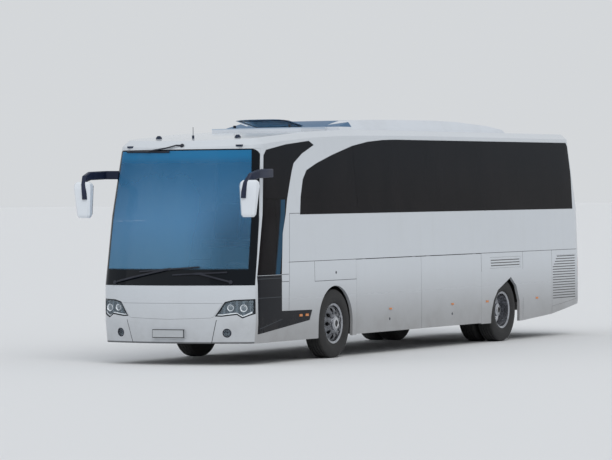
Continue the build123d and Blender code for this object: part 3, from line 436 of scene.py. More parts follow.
def rear_lens():
    """Lamp cover in red, amber and clear bands with a fine prism grain."""
    f = Finish("rear_lens")
    amber_band, clear_band = (1.16, 1.25), (0.90, 0.98)
    amber = f.z.within(*amber_band)
    clear = f.z.within(*clear_band)
    colour = f.mix(amber, (0.36, 0.010, 0.008), (0.80, 0.22, 0.015))
    colour = f.mix(clear, colour, (0.62, 0.62, 0.60))
    gap = f.z.line(amber_band[0], 0.006)
    for z in (amber_band[1], clear_band[1], clear_band[0]):
        gap = gap.highest(f.z.line(z, 0.006))
    colour = f.mix(gap, colour, (0.03, 0.01, 0.01))
    return f.shader(base_color=colour, roughness=0.08, coat_weight=0.5,
                    normal=f.bump(f.cells(0.012), 0.001, 0.5))


def amber_lens():
    """Amber lamp cover with a fine prism grain."""
    f = Finish("amber_lens")
    colour = f.mix(f.noise(0.02), (0.62, 0.20, 0.02), (0.50, 0.14, 0.012))
    return f.shader(base_color=colour, roughness=0.10, coat_weight=0.5,
                    normal=f.bump(f.cells(0.006), 0.0008, 0.5))


def black_plastic(name="black_plastic", tint=(0.016, 0.018, 0.026), roughness=0.42):
    """Fine grained plastic, faded in patches."""
    f = Finish(name)
    fade = f.noise(0.25, 4.0).rise(0.35, 0.8)
    colour = f.mix(fade * 0.6, tint, tuple(c * 1.9 + 0.006 for c in tint))
    return f.shader(base_color=colour, roughness=roughness + fade * 0.12, specular_ior_level=0.22,
                    normal=f.bump(f.noise(0.0025, 2.0), 0.0003))


def grey_plastic():
    """Soft-touch moulding with a leather grain, darker on top."""
    f = Finish("dashboard_plastic")
    colour = f.mix(f.z.rise(1.05, 1.17), (0.105, 0.110, 0.120), (0.028, 0.031, 0.042))
    colour = f.mix(f.noise(0.4) * 0.3, colour, (0.10, 0.11, 0.14))
    return f.shader(base_color=colour, roughness=0.62, normal=f.bump(f.cells(0.006), 0.0006, 0.6))


def smoked_acrylic():
    """Blue acrylic of the roof hatches, through which the sky shows, dusty on top."""
    f = Finish("smoked_acrylic")
    dust = f.noise(0.3, 5.0, 0.6).rise(0.35, 0.9)
    colour = f.mix(dust * 0.35, (0.130, 0.330, 0.560), (0.20, 0.34, 0.50))
    return f.shader(base_color=colour, roughness=0.10 + dust * 0.15, coat_weight=0.1, specular_ior_level=0.3,
                    transmission_weight=0.80)


def gel_coat():
    """Glass fibre roof unit: satin white, weathered on top, with a smoked panel let into its front slope."""
    f = Finish("roof_gel_coat")
    worn = f.noise(0.6, 6.0, 0.65).rise(0.4, 0.8)
    colour = f.mix(worn * 0.4, (0.620, 0.655, 0.700), (0.50, 0.52, 0.54))
    slope_start, deck_foot = 2.475, 3.430
    across = abs(f.y)
    panel = (f.x > 1.30) * (f.x < slope_start) * (f.z > 3.462)
    cheek = (f.x < 2.42 - (across - 0.70).highest(0) * 0.9) * (across > 0.70) * (f.x < 2.02 + (0.95 - across))
    smoked = panel * (1 - cheek)
    blue = f.mix(f.noise(0.3, 4.0), (0.065, 0.135, 0.235), (0.090, 0.170, 0.285))
    colour = f.mix(smoked, colour, blue)
    deck = (f.x > slope_start) * (f.z > deck_foot)
    colour = f.mix(deck * 0.55, colour, (0.330, 0.430, 0.540))
    return f.shader(base_color=colour, roughness=0.40 + worn * 0.2, specular_ior_level=0.08,
                    normal=f.bump(f.noise(0.02, 3.0), 0.0006, 0.5))


def rubber():
    """Tyre rubber with dust in patches."""
    f = Finish("tyre_rubber")
    dust = f.noise(0.08, 5.0, 0.65).rise(0.4, 0.8)
    colour = f.mix(dust * 0.55, (0.014, 0.014, 0.015), (0.055, 0.053, 0.050))
    return f.shader(base_color=colour, roughness=0.72 + dust * 0.2, normal=f.bump(f.noise(0.006, 3.0), 0.0008))


def wheel_radius(f):
    """Distance from the nearer axle's line."""
    nearest = abs(f.x - steer_x).lowest(abs(f.x - drive_x))
    return (nearest ** 2 + (f.z - axle_z) ** 2) ** 0.5


def wheel_metal():
    """Turned and polished wheel metal with brake dust in patches, and painted shade on the disc between hub and
    flange.
    """
    f = Finish("wheel_metal")
    soot = f.noise(0.07, 5.0, 0.65).rise(0.35, 0.75)
    radius = wheel_radius(f)
    deep = 1 - abs(f.y).rise(0.95, 1.20)
    disc = radius.rise(0.100, 0.130) * (1 - radius.rise(0.262, 0.275))
    colour = f.mix(f.noise(0.02, 2.0), (0.36, 0.37, 0.40), (0.50, 0.51, 0.54))
    # brake dust in patches, and painted shade on the disc
    colour = f.mix(soot * (0.40 - deep * 0.3) + disc * 0.60 * (1 - deep), colour, (0.050, 0.053, 0.060))
    return f.shader(base_color=colour, roughness=0.22 + soot * 0.15, metallic=0.88,
                    normal=f.bump((radius * 900).sin(), 0.0003, 0.3))


def hub_metal():
    """Hub cover: bright rim, dark in its sunken middle."""
    f = Finish("hub_cover")
    dark = 1 - wheel_radius(f).rise(0.046, 0.050)
    colour = f.mix(dark, (0.50, 0.51, 0.53), (0.020, 0.020, 0.022))
    return f.shader(base_color=colour, roughness=0.3, metallic=0.7)


def dull_metal():
    """Cast axle parts, black painted and rust-stained."""
    f = Finish("axle_casting")
    rust = f.noise(0.10, 6.0, 0.7).rise(0.52, 0.72)
    colour = f.mix(rust * 0.6, (0.028, 0.027, 0.027), (0.10, 0.048, 0.026))
    return f.shader(base_color=colour, roughness=0.65 + rust * 0.2, metallic=0.2,
                    normal=f.bump(f.noise(0.012, 4.0, 0.7), 0.0015))


def seat_cloth():
    """Woven red and charcoal cloth with a fine check."""
    f = Finish("seat_cloth")
    weave = ((f.y * 1400).sin() * (f.z * 1400).sin()) * 0.5 + 0.5
    square = 0.06
    check = ((f.y % square) < square / 2) * 0.35 + ((f.z % square) < square / 2) * 0.35
    colour = f.mix(check, (0.150, 0.018, 0.022), (0.050, 0.018, 0.030))
    colour = f.mix(weave * 0.25, colour, (0.02, 0.02, 0.02))
    return f.shader(base_color=colour, roughness=0.9, sheen_weight=0.3, normal=f.bump(weave, 0.0008, 0.6))


def mirror_glass():
    """Silvered mirror with a faint haze."""
    f = Finish("mirror_glass")
    colour = f.mix(f.noise(0.3), (0.62, 0.66, 0.70), (0.70, 0.73, 0.76))
    return f.shader(base_color=colour, metallic=1.0, roughness=0.02 + f.noise(0.1) * 0.02)


# Number plate: z of its middle, half width and half height inside its dark edge
plate_z, plate_half_width, plate_half_height = 0.4585, 0.252, 0.050


def plate_white():
    """Blank pale plate with a dark edge."""
    f = Finish("blank_plate")
    edge = (abs(f.y) > plate_half_width).highest(abs(f.z - plate_z) > plate_half_height)
    face = f.mix(f.noise(0.1), (0.36, 0.38, 0.40), (0.42, 0.44, 0.46))
    colour = f.mix(edge, face, (0.05, 0.055, 0.06))
    return f.shader(base_color=colour, roughness=0.35)


paint = body_paint("body_paint", seams=True)
plain_paint = body_paint("body_paint_plain")
# less painted shade at the sill on the front
front_sill_shade = 0.35
front_paint = body_paint("body_paint_front", sill_shade=front_sill_shade)
anthracite = dark_paint()
side_glass = tinted_glass("side_glass")
# Frames of the driver's window and its bluish rear edge
driver_lines = ((3.9, 2.380, 5.4, 2.380), (4.905, 1.285, 4.905, 2.380), (5.020, 1.340, 5.020, 2.380))
driver_strip = (4.892, 1.285, 4.650, 2.370, 0.200)
left_glass = tinted_glass("side_glass_left", lines=driver_lines, strip=driver_strip)
plastic = black_plastic()
arm_plastic = black_plastic("mirror_arm_plastic", (0.010, 0.015, 0.036), 0.30)
metal = wheel_metal()
hub_finish = hub_metal()
casting = dull_metal()
rubber_finish = rubber()
cloth = seat_cloth()

node_finish = {
    "underframe": floor_mat(),
    "side_wall_left": paint,
    "side_wall_right": paint,
    "skirt_left": paint,
    "skirt_right": paint,
    "driver_panel": anthracite,
    "front_mask": front_paint,
    "bumper_front": body_paint("bumper_paint", bumper=True, sill_shade=front_sill_shade),
    "service_flap": front_paint,
    "roof": plain_paint,
    "roof_unit": gel_coat(),
    "rear_wall": plain_paint,
    "engine_lid": plain_paint,
    "windscreen": windscreen_glass(),
    "side_glass_left": left_glass,
    "side_glass_right": side_glass,
    "rear_glass": side_glass,
    "door_front_glass": side_glass,
    "front_lenses": clear_lens(),
    "headlamp_bowls": reflector(),
    "rear_lamps": rear_lens(),
    "louvres": body_paint("louvre_paint"),
    "engine": casting,
    "seats": cloth,
    "driver_seat": cloth,
    "side_markers": amber_lens(),
    "roof_markers": black_plastic("marker_lamp_plastic", (0.012, 0.020, 0.040), 0.15),
    "dashboard": grey_plastic(),
    "mirror_arms": arm_plastic,
    "mirror_shells": lit_shell_paint(),
    "wipers": plastic,
    "front_axle": casting,
    "rear_axle": casting,
    "knuckle_left": casting,
    "knuckle_right": casting,
    "tyre_front_left": rubber_finish,
    "tyre_front_right": rubber_finish,
    "tyres_rear_left": rubber_finish,
    "tyres_rear_right": rubber_finish,
    "rim_front_left": metal,
    "rim_front_right": metal,
    "rims_rear_left": metal,
    "rims_rear_right": metal,
    "flap_left_front": paint,
    "flap_left_rear": paint,
    "flap_right_front": paint,
    "flap_right_rear": paint,
    "hatch_front": smoked_acrylic(),
    "hatch_rear": smoked_acrylic(),
    "door_front": paint,
    "door_middle": paint,
    "door_arms_front": plastic,
    "door_arms_middle": plastic,
}


def smooth_shading(piece):
    """Rounds the shading of a CAD node between its real edges; its shape stays."""
    piece.data.polygons.foreach_set("use_smooth", [True] * len(piece.data.polygons))
    weld = piece.modifiers.new("weld", "WELD")
    weld.merge_threshold = 0.00002
    split = piece.modifiers.new("edges", "EDGE_SPLIT")
    split.split_angle = math.radians(30)
    split.use_edge_sharp = False


for name, material in node_finish.items():
    piece = nodes[name]
    if piece.material_slots:
        for place in piece.material_slots:
            place.material = material
    else:
        piece.data.materials.append(material)
    smooth_shading(piece)


# Pieces
def as_mesh(m):
    """A bmesh made into mesh data, and freed."""
    data = bpy.data.meshes.new("part")
    m.to_mesh(data)
    m.free()
    return data


def gather(into, data, spots=((0, 0, 0),)):
    """Adds a copy of a mesh at each place, and removes the mesh."""
    for spot in spots:
        data.transform(Matrix.Translation(spot))
        into.from_mesh(data)
        data.transform(Matrix.Translation(-Vector(spot)))
    bpy.data.meshes.remove(data)


def new_piece(name, mesh, material, body):
    """A bmesh made into a piece that rides on a body."""
    data = bpy.data.meshes.new(name)
    mesh.to_mesh(data)
    mesh.free()
    piece = bpy.data.objects.new(name, data)
    bpy.context.scene.collection.objects.link(piece)
    data.materials.append(material)
    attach(piece, body)
    return piece


def shade_by_angle(mesh, angle=35):
    """Smooth faces, with sharp edges above the angle."""
    for face in mesh.faces:
        face.smooth = True
    for edge in mesh.edges:
        edge.smooth = not (len(edge.link_faces) == 2 and edge.calc_face_angle(0) > math.radians(angle))


def block(mesh, low, high, soften=0.0, segments=2):
    """A box between two corners, its edges rounded."""
    made = bmesh.ops.create_cube(mesh, size=1)["verts"]
    middle = [(a + b) / 2 for a, b in zip(low, high)]
    size = [b - a for a, b in zip(low, high)]
    bmesh.ops.scale(mesh, vec=size, verts=made)
    bmesh.ops.translate(mesh, vec=middle, verts=made)
    if soften:
        edges = list({e for v in made for e in v.link_edges})
        bmesh.ops.bevel(mesh, geom=edges, offset=soften, offset_type="OFFSET", segments=segments, profile=0.5,
                        affect="EDGES", material=-1)


def turned(mesh, profile, centre, side, steps=64):
    """A closed profile of (distance outward, radius) spun about an axle along Y."""
    x, y, z = centre
    ring = [mesh.verts.new((x, y + side * out, z + radius)) for out, radius in profile]
    edges = [mesh.edges.new((a, b)) for a, b in zip(ring, ring[1:] + ring[:1])]
    bmesh.ops.spin(mesh, geom=ring + edges, cent=centre, axis=(0, 1, 0), angle=2 * math.pi, steps=steps,
                   use_merge=True, use_duplicate=False)


def spun(profile, steps=24):
    """A closed profile of (distance along Z, radius) spun about Z, as a mesh."""
    m = bmesh.new()
    ring = [m.verts.new((radius, 0, up)) for up, radius in profile]
    edges = [m.edges.new(pair) for pair in zip(ring, ring[1:] + ring[:1])]
    bmesh.ops.spin(m, geom=ring + edges, cent=(0, 0, 0), axis=(0, 0, 1), angle=2 * math.pi, steps=steps,
                   use_merge=True, use_duplicate=False)
    join_up(m)
    shade_by_angle(m, 30)
    return as_mesh(m)


def set_at(into, data, spot, towards):
    """Adds a mesh made about Z, moved to a spot and turned so that Z points that way."""
    data.transform(Matrix.Translation(spot) @ Vector(towards).to_track_quat("Z", "Y").to_matrix().to_4x4())
    into.from_mesh(data)
    bpy.data.meshes.remove(data)


def strip(points, across, width, thick, soften=0.0):
    """A flat bar along points: that wide across them, and that thick."""
    m = bmesh.new()
    row = [m.verts.new(Vector(p) - Vector(across) * width / 2) for p in points]
    edges = [m.edges.new(pair) for pair in zip(row, row[1:])]
    made = bmesh.ops.extrude_edge_only(m, edges=edges)["geom"]
    far = [v for v in made if isinstance(v, bmesh.types.BMVert)]
    bmesh.ops.translate(m, vec=Vector(across) * width, verts=far)
    bmesh.ops.solidify(m, geom=m.faces[:], thickness=thick)
    bmesh.ops.recalc_face_normals(m, faces=m.faces)
    if soften:
        sharp = [e for e in m.edges if len(e.link_faces) == 2 and e.calc_face_angle(0) > 1.0]
        bmesh.ops.bevel(m, geom=sharp, offset=soften, offset_type="OFFSET", segments=2, profile=0.5,
                        affect="EDGES", material=-1)
    shade_by_angle(m, 40)
    return as_mesh(m)


def surfaces(*names):
    """The surfaces of CAD nodes, to set pieces on."""
    m = bmesh.new()
    for name in names:
        m.from_mesh(nodes[name].data)
    tree = BVHTree.FromBMesh(m)
    m.free()
    return tree


def seen_from_front(tree, y, z, proud=0.0):
    """The spot of a surface seen from straight ahead at y and z, that far in front of it, and its normal."""
    spot, normal, *_ = tree.ray_cast(Vector((8, y, z)), Vector((-1, 0, 0)))
    return spot + normal * proud, normal


def join_up(mesh):
    """Merges doubles and turns the faces outwards."""
    bmesh.ops.remove_doubles(mesh, verts=mesh.verts, dist=0.00005)
    bmesh.ops.recalc_face_normals(mesh, faces=mesh.faces)


# Tyres: half of the section (distance outward, radius), its mirror image added
front_tyre_y, rear_tyre_y, twin_tyre_y = 1.118, 1.100, 0.770
tyre_section = [
    (-0.1038, 0.2853), (-0.1038, 0.3010), (-0.1160, 0.3100), (-0.1300, 0.3280), (-0.1335, 0.3450),
    (-0.1415, 0.3650), (-0.1430, 0.3950), (-0.1420, 0.4180), (-0.1360, 0.4550), (-0.1290, 0.4840),
    (-0.1200, 0.5010), (-0.1100, 0.5065), (-0.0780, 0.5110), (-0.0760, 0.5020), (-0.0690, 0.5020),
    (-0.0670, 0.5120), (-0.0300, 0.5135), (-0.0280, 0.5045), (-0.0210, 0.5045), (-0.0190, 0.5138),
]
tyre_section = tyre_section + [(-a, r) for a, r in reversed(tyre_section)]


def tyre(mesh, x, y):
    """One tyre with grooved ribs and cut shoulders."""
    turned(mesh, tyre_section, (x, y, axle_z), 1, 84)
    join_up(mesh)
    shoulder = []
    for face in mesh.faces:
        c = face.calc_center_median()
        r = math.hypot(c.x - x, c.z - axle_z)
        if 0.507 < r < 0.511 and 0.085 < abs(c.y - y) < 0.106:
            shoulder.append(face)
    bmesh.ops.inset_individual(mesh, faces=shoulder, thickness=0.004, depth=0.0035)
    shade_by_angle(mesh, 32)


# Node, x of the axle, y of each tyre's middle, body
tyre_table = (
    ("tyre_front_left", steer_x, (front_tyre_y,), "wheel_front_left"),
    ("tyre_front_right", steer_x, (-front_tyre_y,), "wheel_front_right"),
    ("tyres_rear_left", drive_x, (rear_tyre_y, twin_tyre_y), "wheels_rear_left"),
    ("tyres_rear_right", drive_x, (-rear_tyre_y, -twin_tyre_y), "wheels_rear_right"),
)
for node, x, middles, body in tyre_table:
    together = bmesh.new()
    for y in middles:
        one = bmesh.new()
        tyre(one, x, y)
        gather(together, as_mesh(one))
    piece = new_piece("treaded_" + node, together, rubber_finish, body)
    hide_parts(node)


# Wheel nuts and hub covers
nut_circle = 0.1675
nut_count = 10
# Section of a hub cover: distance outward, step from its radius (None is the middle)
hub_cap = ((-0.002, None), (-0.002, 0), (0.004, 0), (0.010, -0.008), (0.012, -0.030), (0.006, -0.034),
           (0.005, None))


def wheel_fittings(name, x, face_y, side, hub_y, hub_radius, body):
    """Ten nuts on their circle, each on its washer, and a turned hub cover; face_y is the disc's face."""
    m = bmesh.new()
    for i in range(nut_count):
        a = 2 * math.pi * i / nut_count
        centre = Vector((x, face_y + side * 0.010, axle_z))
        centre += Vector((math.cos(a), 0, math.sin(a))) * nut_circle
        nut = Matrix.Translation(centre) @ Matrix.Rotation(math.radians(-90 * side), 4, "X")
        bmesh.ops.create_cone(m, cap_ends=True, segments=6, radius1=0.0165, radius2=0.0140, depth=0.022,
                              matrix=nut)
        seat_spot = centre - Vector((0, side * 0.008, 0))
        washer = Matrix.Translation(seat_spot) @ Matrix.Rotation(math.radians(90), 4, "X")
        bmesh.ops.create_cone(m, cap_ends=True, segments=16, radius1=0.021, radius2=0.021, depth=0.006,
                              matrix=washer)
    long_edges = [e for e in m.edges if e.calc_length() > 0.012]
    bmesh.ops.bevel(m, geom=long_edges, offset=0.0012, offset_type="OFFSET", segments=1, profile=0.5,
                    affect="EDGES", material=-1)
    shade_by_angle(m)
    new_piece("nuts_" + name, m, metal, body)
    m = bmesh.new()
    cap = [(out, 0.0004 if step is None else hub_radius + step) for out, step in hub_cap]
    turned(m, cap, (x, hub_y, axle_z), side, 48)
    join_up(m)
    shade_by_angle(m, 30)
    new_piece("hub_cover_" + name, m, hub_finish, body)


for side, word in ((1, "left"), (-1, "right")):
    wheel_fittings("front_" + word, steer_x, side * (front_tyre_y + 0.134), side,
                   side * (front_tyre_y + 0.1571), 0.082, "wheel_front_" + word)
    wheel_fittings("rear_" + word, drive_x, side * (rear_tyre_y - 0.151), side,
                   side * (rear_tyre_y + 0.0501), 0.060, "wheels_rear_" + word)


# Seats: fronts of the rows, inner and outer edge of a bench, floors and the lean of the backs
seat_front = [2.950 - 0.790 * row for row in range(11)]
bench_in, bench_out = 0.240, 1.170
floor_z, driver_spot = 1.3303, (4.780, 0.660, 0.8503)
lean = math.radians(-10.5)


def pad(low, high, crown, axis, tilt=None):
    """A rounded block whose broad faces swell along an axis, leant about a pivot."""
    m = bmesh.new()
    bmesh.ops.create_cube(m, size=2)
    bmesh.ops.subdivide_edges(m, edges=m.edges[:], cuts=5, use_grid_fill=True)
    middle = Vector((a + b) / 2 for a, b in zip(low, high))
    half = Vector((b - a) / 2 for a, b in zip(low, high))
    for v in m.verts:
        round_point = v.co.normalized() * max(abs(c) for c in v.co)
        q = v.co.lerp(round_point, 0.22)
        across = [q[i] for i in range(3) if i != axis]
        q[axis] *= 1 + crown * (1 - across[0] ** 2) * (1 - across[1] ** 2)
        v.co = middle + Vector(q[i] * half[i] for i in range(3))
    if tilt:
        bmesh.ops.rotate(m, cent=tilt, matrix=Matrix.Rotation(lean, 3, "Y"), verts=m.verts)
    return as_mesh(m)


def seat(width, seat_height, back_height):
    """One place with its front edge at x 0: pads and the moulded shell behind them."""
    half, top = width / 2, seat_height
    pivot = Vector((-0.44, 0, top))
    pads = bmesh.new()
    head = top + back_height
    gather(pads, pad((-0.46, -half + 0.01, top - 0.115), (-0.005, half - 0.01, top - 0.012), 0.10, 2))
    gather(pads, pad((-0.485, -half + 0.012, top - 0.05), (-0.395, half - 0.012, head - 0.16), 0.12, 0, pivot))
    gather(pads, pad((-0.480, -0.13, head - 0.165), (-0.405, 0.13, head - 0.012), 0.12, 0, pivot))
    for s in (-1, 1):
        y = s * (half - 0.035)
        gather(pads, pad((-0.470, y - 0.022, top), (-0.375, y + 0.022, head - 0.20), 0.05, 0, pivot))
    shell = bmesh.new()
    block(shell, (-0.500, -half + 0.012, top - 0.08), (-0.478, half - 0.012, head - 0.06), 0.006, 2)
    bmesh.ops.rotate(shell, cent=pivot, matrix=Matrix.Rotation(lean, 3, "Y"), verts=shell.verts)
    return as_mesh(pads), as_mesh(shell)


def plinth(low, high):
    """The box under a seat."""
    m = bmesh.new()
    block(m, low, high, 0.01, 1)
    return as_mesh(m)


pads, frames = bmesh.new(), bmesh.new()
bench_width = (bench_out - bench_in) / 2
# The middle door's stairwell takes the room of the right benches beside it
stairwell = (-1.6, -0.4)
benches = [(x, s) for x in seat_front for s in (1, -1) if s > 0 or not stairwell[0] < x < stairwell[1]]
places = [(x, s * (bench_in + bench_width * part), floor_z) for x, s in benches for part in (0.5, 1.5)]
for parts, spots in ((seat(bench_width, 0.440, 0.720), places),
                     (seat(0.480, 0.400, 0.680), [driver_spot])):
    gather(pads, parts[0], spots)
    gather(frames, parts[1], spots)
middle = (bench_in + bench_out) / 2
bench_spots = [(x, s * middle, floor_z) for x, s in benches]
gather(frames, plinth((-0.380, -0.345, 0), (-0.120, 0.345, 0.315)), bench_spots)
gather(frames, plinth((-0.380, -0.12, 0), (-0.120, 0.12, 0.275)), [driver_spot])
shade_by_angle(pads, 50)
shade_by_angle(frames, 35)
seat_pads = new_piece("seat_pads", pads, cloth, "coach")
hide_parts("seats", "driver_seat")
new_piece("seat_shells", frames, plastic, "coach")


# Headlamps: projectors (half width, z, radius) and the bright trim along the foot (half width, z)
projectors = ((0.935, 0.828, 0.048), (1.115, 0.822, 0.054))
trim_path = ((0.752, 0.722), (0.820, 0.722), (0.935, 0.737), (1.020, 0.747), (1.062, 0.722), (1.104, 0.700),
             (1.165, 0.727), (1.222, 0.762))
lens_surface = surfaces("front_lenses")
chrome = bright_chrome()


lens_depth, lamp_turn = 0.014, 0.22


def projector_ring(r):
    """The bright ring round a projector, its mouth at z 0."""
    return spun([(-0.018, r * 0.72), (-0.018, r), (0.000, r), (0.004, r * 0.95), (0.002, r * 0.90),
                 (-0.010, r * 0.74)], 32)


def projector_dome(r):
    """The glass dome inside the ring."""
    return spun([(-0.016, 0.0004), (-0.016, r * 0.72), (-0.012, r * 0.70), (-0.006, r * 0.55),
                 (-0.002, r * 0.34), (0.000, 0.0004)], 32)


trims, domes = bmesh.new(), bmesh.new()
for side in (1, -1):
    for y, z, r in projectors:
        spot = seen_from_front(lens_surface, side * y, z, -lens_depth)[0]
        heading = (1, side * lamp_turn, 0)
        set_at(trims, projector_ring(r), spot, heading)
        set_at(domes, projector_dome(r), spot, heading)
    path = [seen_from_front(lens_surface, side * y, z, -0.012)[0] for y, z in trim_path]
    gather(trims, strip(path, (0, 0, 1), 0.028, 0.005, 0.001))
new_piece("headlamp_trims", trims, chrome, "coach")
new_piece("headlamp_projectors", domes, lamp_glass(), "coach")

# Fog lamps: a dark ring and the lamp's shade in each
fog_y, fog_z, fog_radius = 0.880, 0.468, 0.049
brow_line = ((-0.038, 0.006), (-0.020, 0.016), (0, 0.020), (0.020, 0.016), (0.038, 0.006))
fog_rings = bmesh.new()
for side in (1, -1):
    spot, normal = seen_from_front(lens_surface, side * fog_y, fog_z)
    ring = [(-0.010, fog_radius + 0.001), (0.0015, fog_radius + 0.001), (0.004, fog_radius + 0.005),
            (0.004, fog_radius + 0.011), (0.0005, fog_radius + 0.016), (-0.010, fog_radius + 0.014)]
    set_at(fog_rings, spun(ring, 40), spot, normal)
    brow = [seen_from_front(lens_surface, side * (fog_y + a), fog_z + b, 0.001)[0] for a, b in brow_line]
    gather(fog_rings, strip(brow, (0, 0, 1), 0.010, 0.002))
new_piece("fog_lamp_rings", fog_rings, plastic, "coach")


# Wipers: pivot y, z, then both ends of the blade
wiper_table = (
    (-0.978, 1.189, -0.513, 1.345, 0.475, 1.412),
    (0.940, 1.195, 0.060, 1.300, 0.880, 1.335),
    (0.042, 3.158, -0.961, 3.092, -0.155, 3.080),
)
front_surface = surfaces("windscreen", "roof", "front_mask")
# Share of the way along an arm, and how far it stands off the glass there
arm_rise = ((0, 0.018), (0.14, 0.036), (0.4, 0.042), (0.75, 0.038), (1, 0.030))


def wiper(into, py, pz, ay, az, by, bz):
    """A pivot with its cap, an arm to the middle of the blade, and the blade's carrier and rubber."""
    pivot, out = seen_from_front(front_surface, py, pz, 0.002)
    cap = [(0, 0.0004), (0, 0.030), (0.018, 0.030), (0.026, 0.024), (0.028, 0.0004)]
    set_at(into, spun(cap, 24), pivot, out)
    blade = [seen_from_front(front_surface, ay + (by - ay) * t / 8, az + (bz - az) * t / 8, 0.018)[0]
             for t in range(9)]
    my, mz = (ay + by) / 2, (az + bz) / 2
    arm = [seen_from_front(front_surface, py + (my - py) * t, pz + (mz - pz) * t, proud)[0]
           for t, proud in arm_rise]
    rubber_line = [p - out * 0.013 for p in blade]
    along = (blade[-1] - blade[0]).normalized()
    across = along.cross(out).normalized()
    gather(into, strip(blade, across, 0.022, 0.010, 0.002))
    gather(into, strip(rubber_line, across, 0.006, 0.012))
    hold = blade[4]
    side = (hold - pivot).cross(out).normalized()
    gather(into, strip(arm, side, 0.026, 0.010, 0.002))
    bracket = [hold + along * reach + out * 0.006 for reach in (-0.06, 0.06)]
    gather(into, strip(bracket, across, 0.032, 0.012))


wipers = bmesh.new()
for row in wiper_table:
    wiper(wipers, *row)
wiper_piece = new_piece("wiper_set", wipers, plastic, "coach")
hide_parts("wipers")

# Mirror glasses behind the shells: x of the shell's middle and side; y of its middle;
# z of the glass's foot and top, each with its distance behind the shell's middle
mirror_places = ((6.080, 1), (5.990, -1))
mirror_y = 1.395
mirror_back = ((2.190, -0.0585), (2.585, -0.0765))


def mirror_pane(x, side):
    """A thin pane that widens and leans towards its top."""
    m = bmesh.new()
    bmesh.ops.create_grid(m, x_segments=6, y_segments=8, size=1)
    (z0, b0), (z1, b1) = mirror_back
    for v in m.verts:
        t = (v.co.y + 1) / 2
        y_in, y_out = mirror_y - 0.104 - 0.018 * t, mirror_y + 0.074 + 0.048 * t
        y = (y_in + y_out) / 2 + v.co.x * (y_out - y_in) / 2
        v.co = Vector((x + b0 + (b1 - b0) * t, side * y, z0 + (z1 - z0) * t))
    bmesh.ops.solidify(m, geom=m.faces[:], thickness=0.002)
    bmesh.ops.recalc_face_normals(m, faces=m.faces)
    shade_by_angle(m, 30)
    return as_mesh(m)


panes = bmesh.new()
for x, side in mirror_places:
    gather(panes, mirror_pane(x, side))
new_piece("mirror_glasses", panes, mirror_glass(), "coach")

# Locks on the lids and flaps: x, z, side, body
lock_table = (
    (3.155, 1.274, 1, "coach"),
    (3.155, 1.274, -1, "coach"),
    (1.365, 0.520, 1, "luggage_flap_left_front"),
    (-0.875, 0.520, 1, "luggage_flap_left_rear"),
    (1.365, 0.520, -1, "luggage_flap_right_front"),
    (-0.330, 0.520, -1, "luggage_flap_right_rear"),
)
lock_section = [(-0.002, 0.0004), (-0.002, 0.021), (0.0012, 0.021), (0.0018, 0.018), (0.0008, 0.014),
                (0.0016, 0.012), (0.0016, 0.0004)]
side_surface = surfaces("skirt_left", "skirt_right", *[n for n in nodes if n.startswith("flap_")])
for number, (x, z, side, body) in enumerate(lock_table):
    spot, normal, *_ = side_surface.ray_cast(Vector((x, side * 2, z)), Vector((0, -side, 0)))
    m = bmesh.new()
    set_at(m, spun(lock_section, 28), spot, normal)
    new_piece("lock_%d" % number, m, plastic, body)

# Roof hatches: node, body, x of the front and rear edge, half width, z of the foot, how far it stands open
hatch_table = (
    ("hatch_front", "roof_hatch_front", 3.160, 2.500, 0.445, 3.4623, 9.0),
    ("hatch_rear", "roof_hatch_rear", -4.300, -4.960, 0.400, 3.4263, 0.0),
)
hatch_thick = 0.028
rim_inset, rim_width, rim_height = 0.05, 0.025, 0.006


def hatch_cover(x1, x0, half, foot):
    """A shut cover whose top falls away towards its edges."""
    m = bmesh.new()
    bmesh.ops.create_cube(m, size=2)
    bmesh.ops.subdivide_edges(m, edges=m.edges[:], cuts=7, use_grid_fill=True)
    for v in m.verts:
        a, b, c = v.co
        pinch = 1 - 0.055 * (a * b) ** 4
        top = hatch_thick - 0.014 * b ** 4 - 0.010 * a ** 6
        z = foot + (0.004 if c < 0 else 0) + (c + 1) / 2 * (top - 0.004)
        v.co = Vector(((x0 + x1) / 2 + a * pinch * (x1 - x0) / 2, b * pinch * half, z))
    shade_by_angle(m, 40)
    return m


def hatch_rim(x1, x0, half, foot):
    """The dark frame under a shut cover."""
    inner, outer = rim_inset + rim_width, rim_inset
    m = bmesh.new()
    for low, high in (
        ((x0 + outer, -half + outer), (x1 - outer, -half + inner)),
        ((x0 + outer, half - inner), (x1 - outer, half - outer)),
        ((x0 + outer, -half + outer), (x0 + inner, half - outer)),
        ((x1 - inner, -half + outer), (x1 - outer, half - outer)),
    ):
        one = bmesh.new()
        block(one, (*low, foot), (*high, foot + rim_height), 0.001, 1)
        gather(m, as_mesh(one))
    return m


acrylic = node_finish["hatch_front"]
for name, body, x1, x0, half, foot, stands in hatch_table:
    cover, rim = hatch_cover(x1, x0, half, foot), hatch_rim(x1, x0, half, foot)
    hinge = Vector((x0 + 0.008, 0, foot - 0.0033))
    for m in (cover, rim):
        bmesh.ops.rotate(m, cent=hinge, matrix=Matrix.Rotation(math.radians(-stands), 3, "Y"), verts=m.verts)
    piece = new_piece(name + "_cover", cover, acrylic, body)
    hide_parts(name)
    new_piece(name + "_frame", rim, plastic, body)


# Blocks on the deck beside the front hatch
block_y, block_half = 0.471, 0.014
blocks = bmesh.new()
for side in (1, -1):
    y = side * block_y
    one = bmesh.new()
    block(one, (3.055, y - block_half, 3.452), (3.100, y + block_half, 3.494), 0.004, 2)
    gather(blocks, as_mesh(one))
shade_by_angle(blocks)
new_piece("deck_blocks", blocks, plastic, "coach")


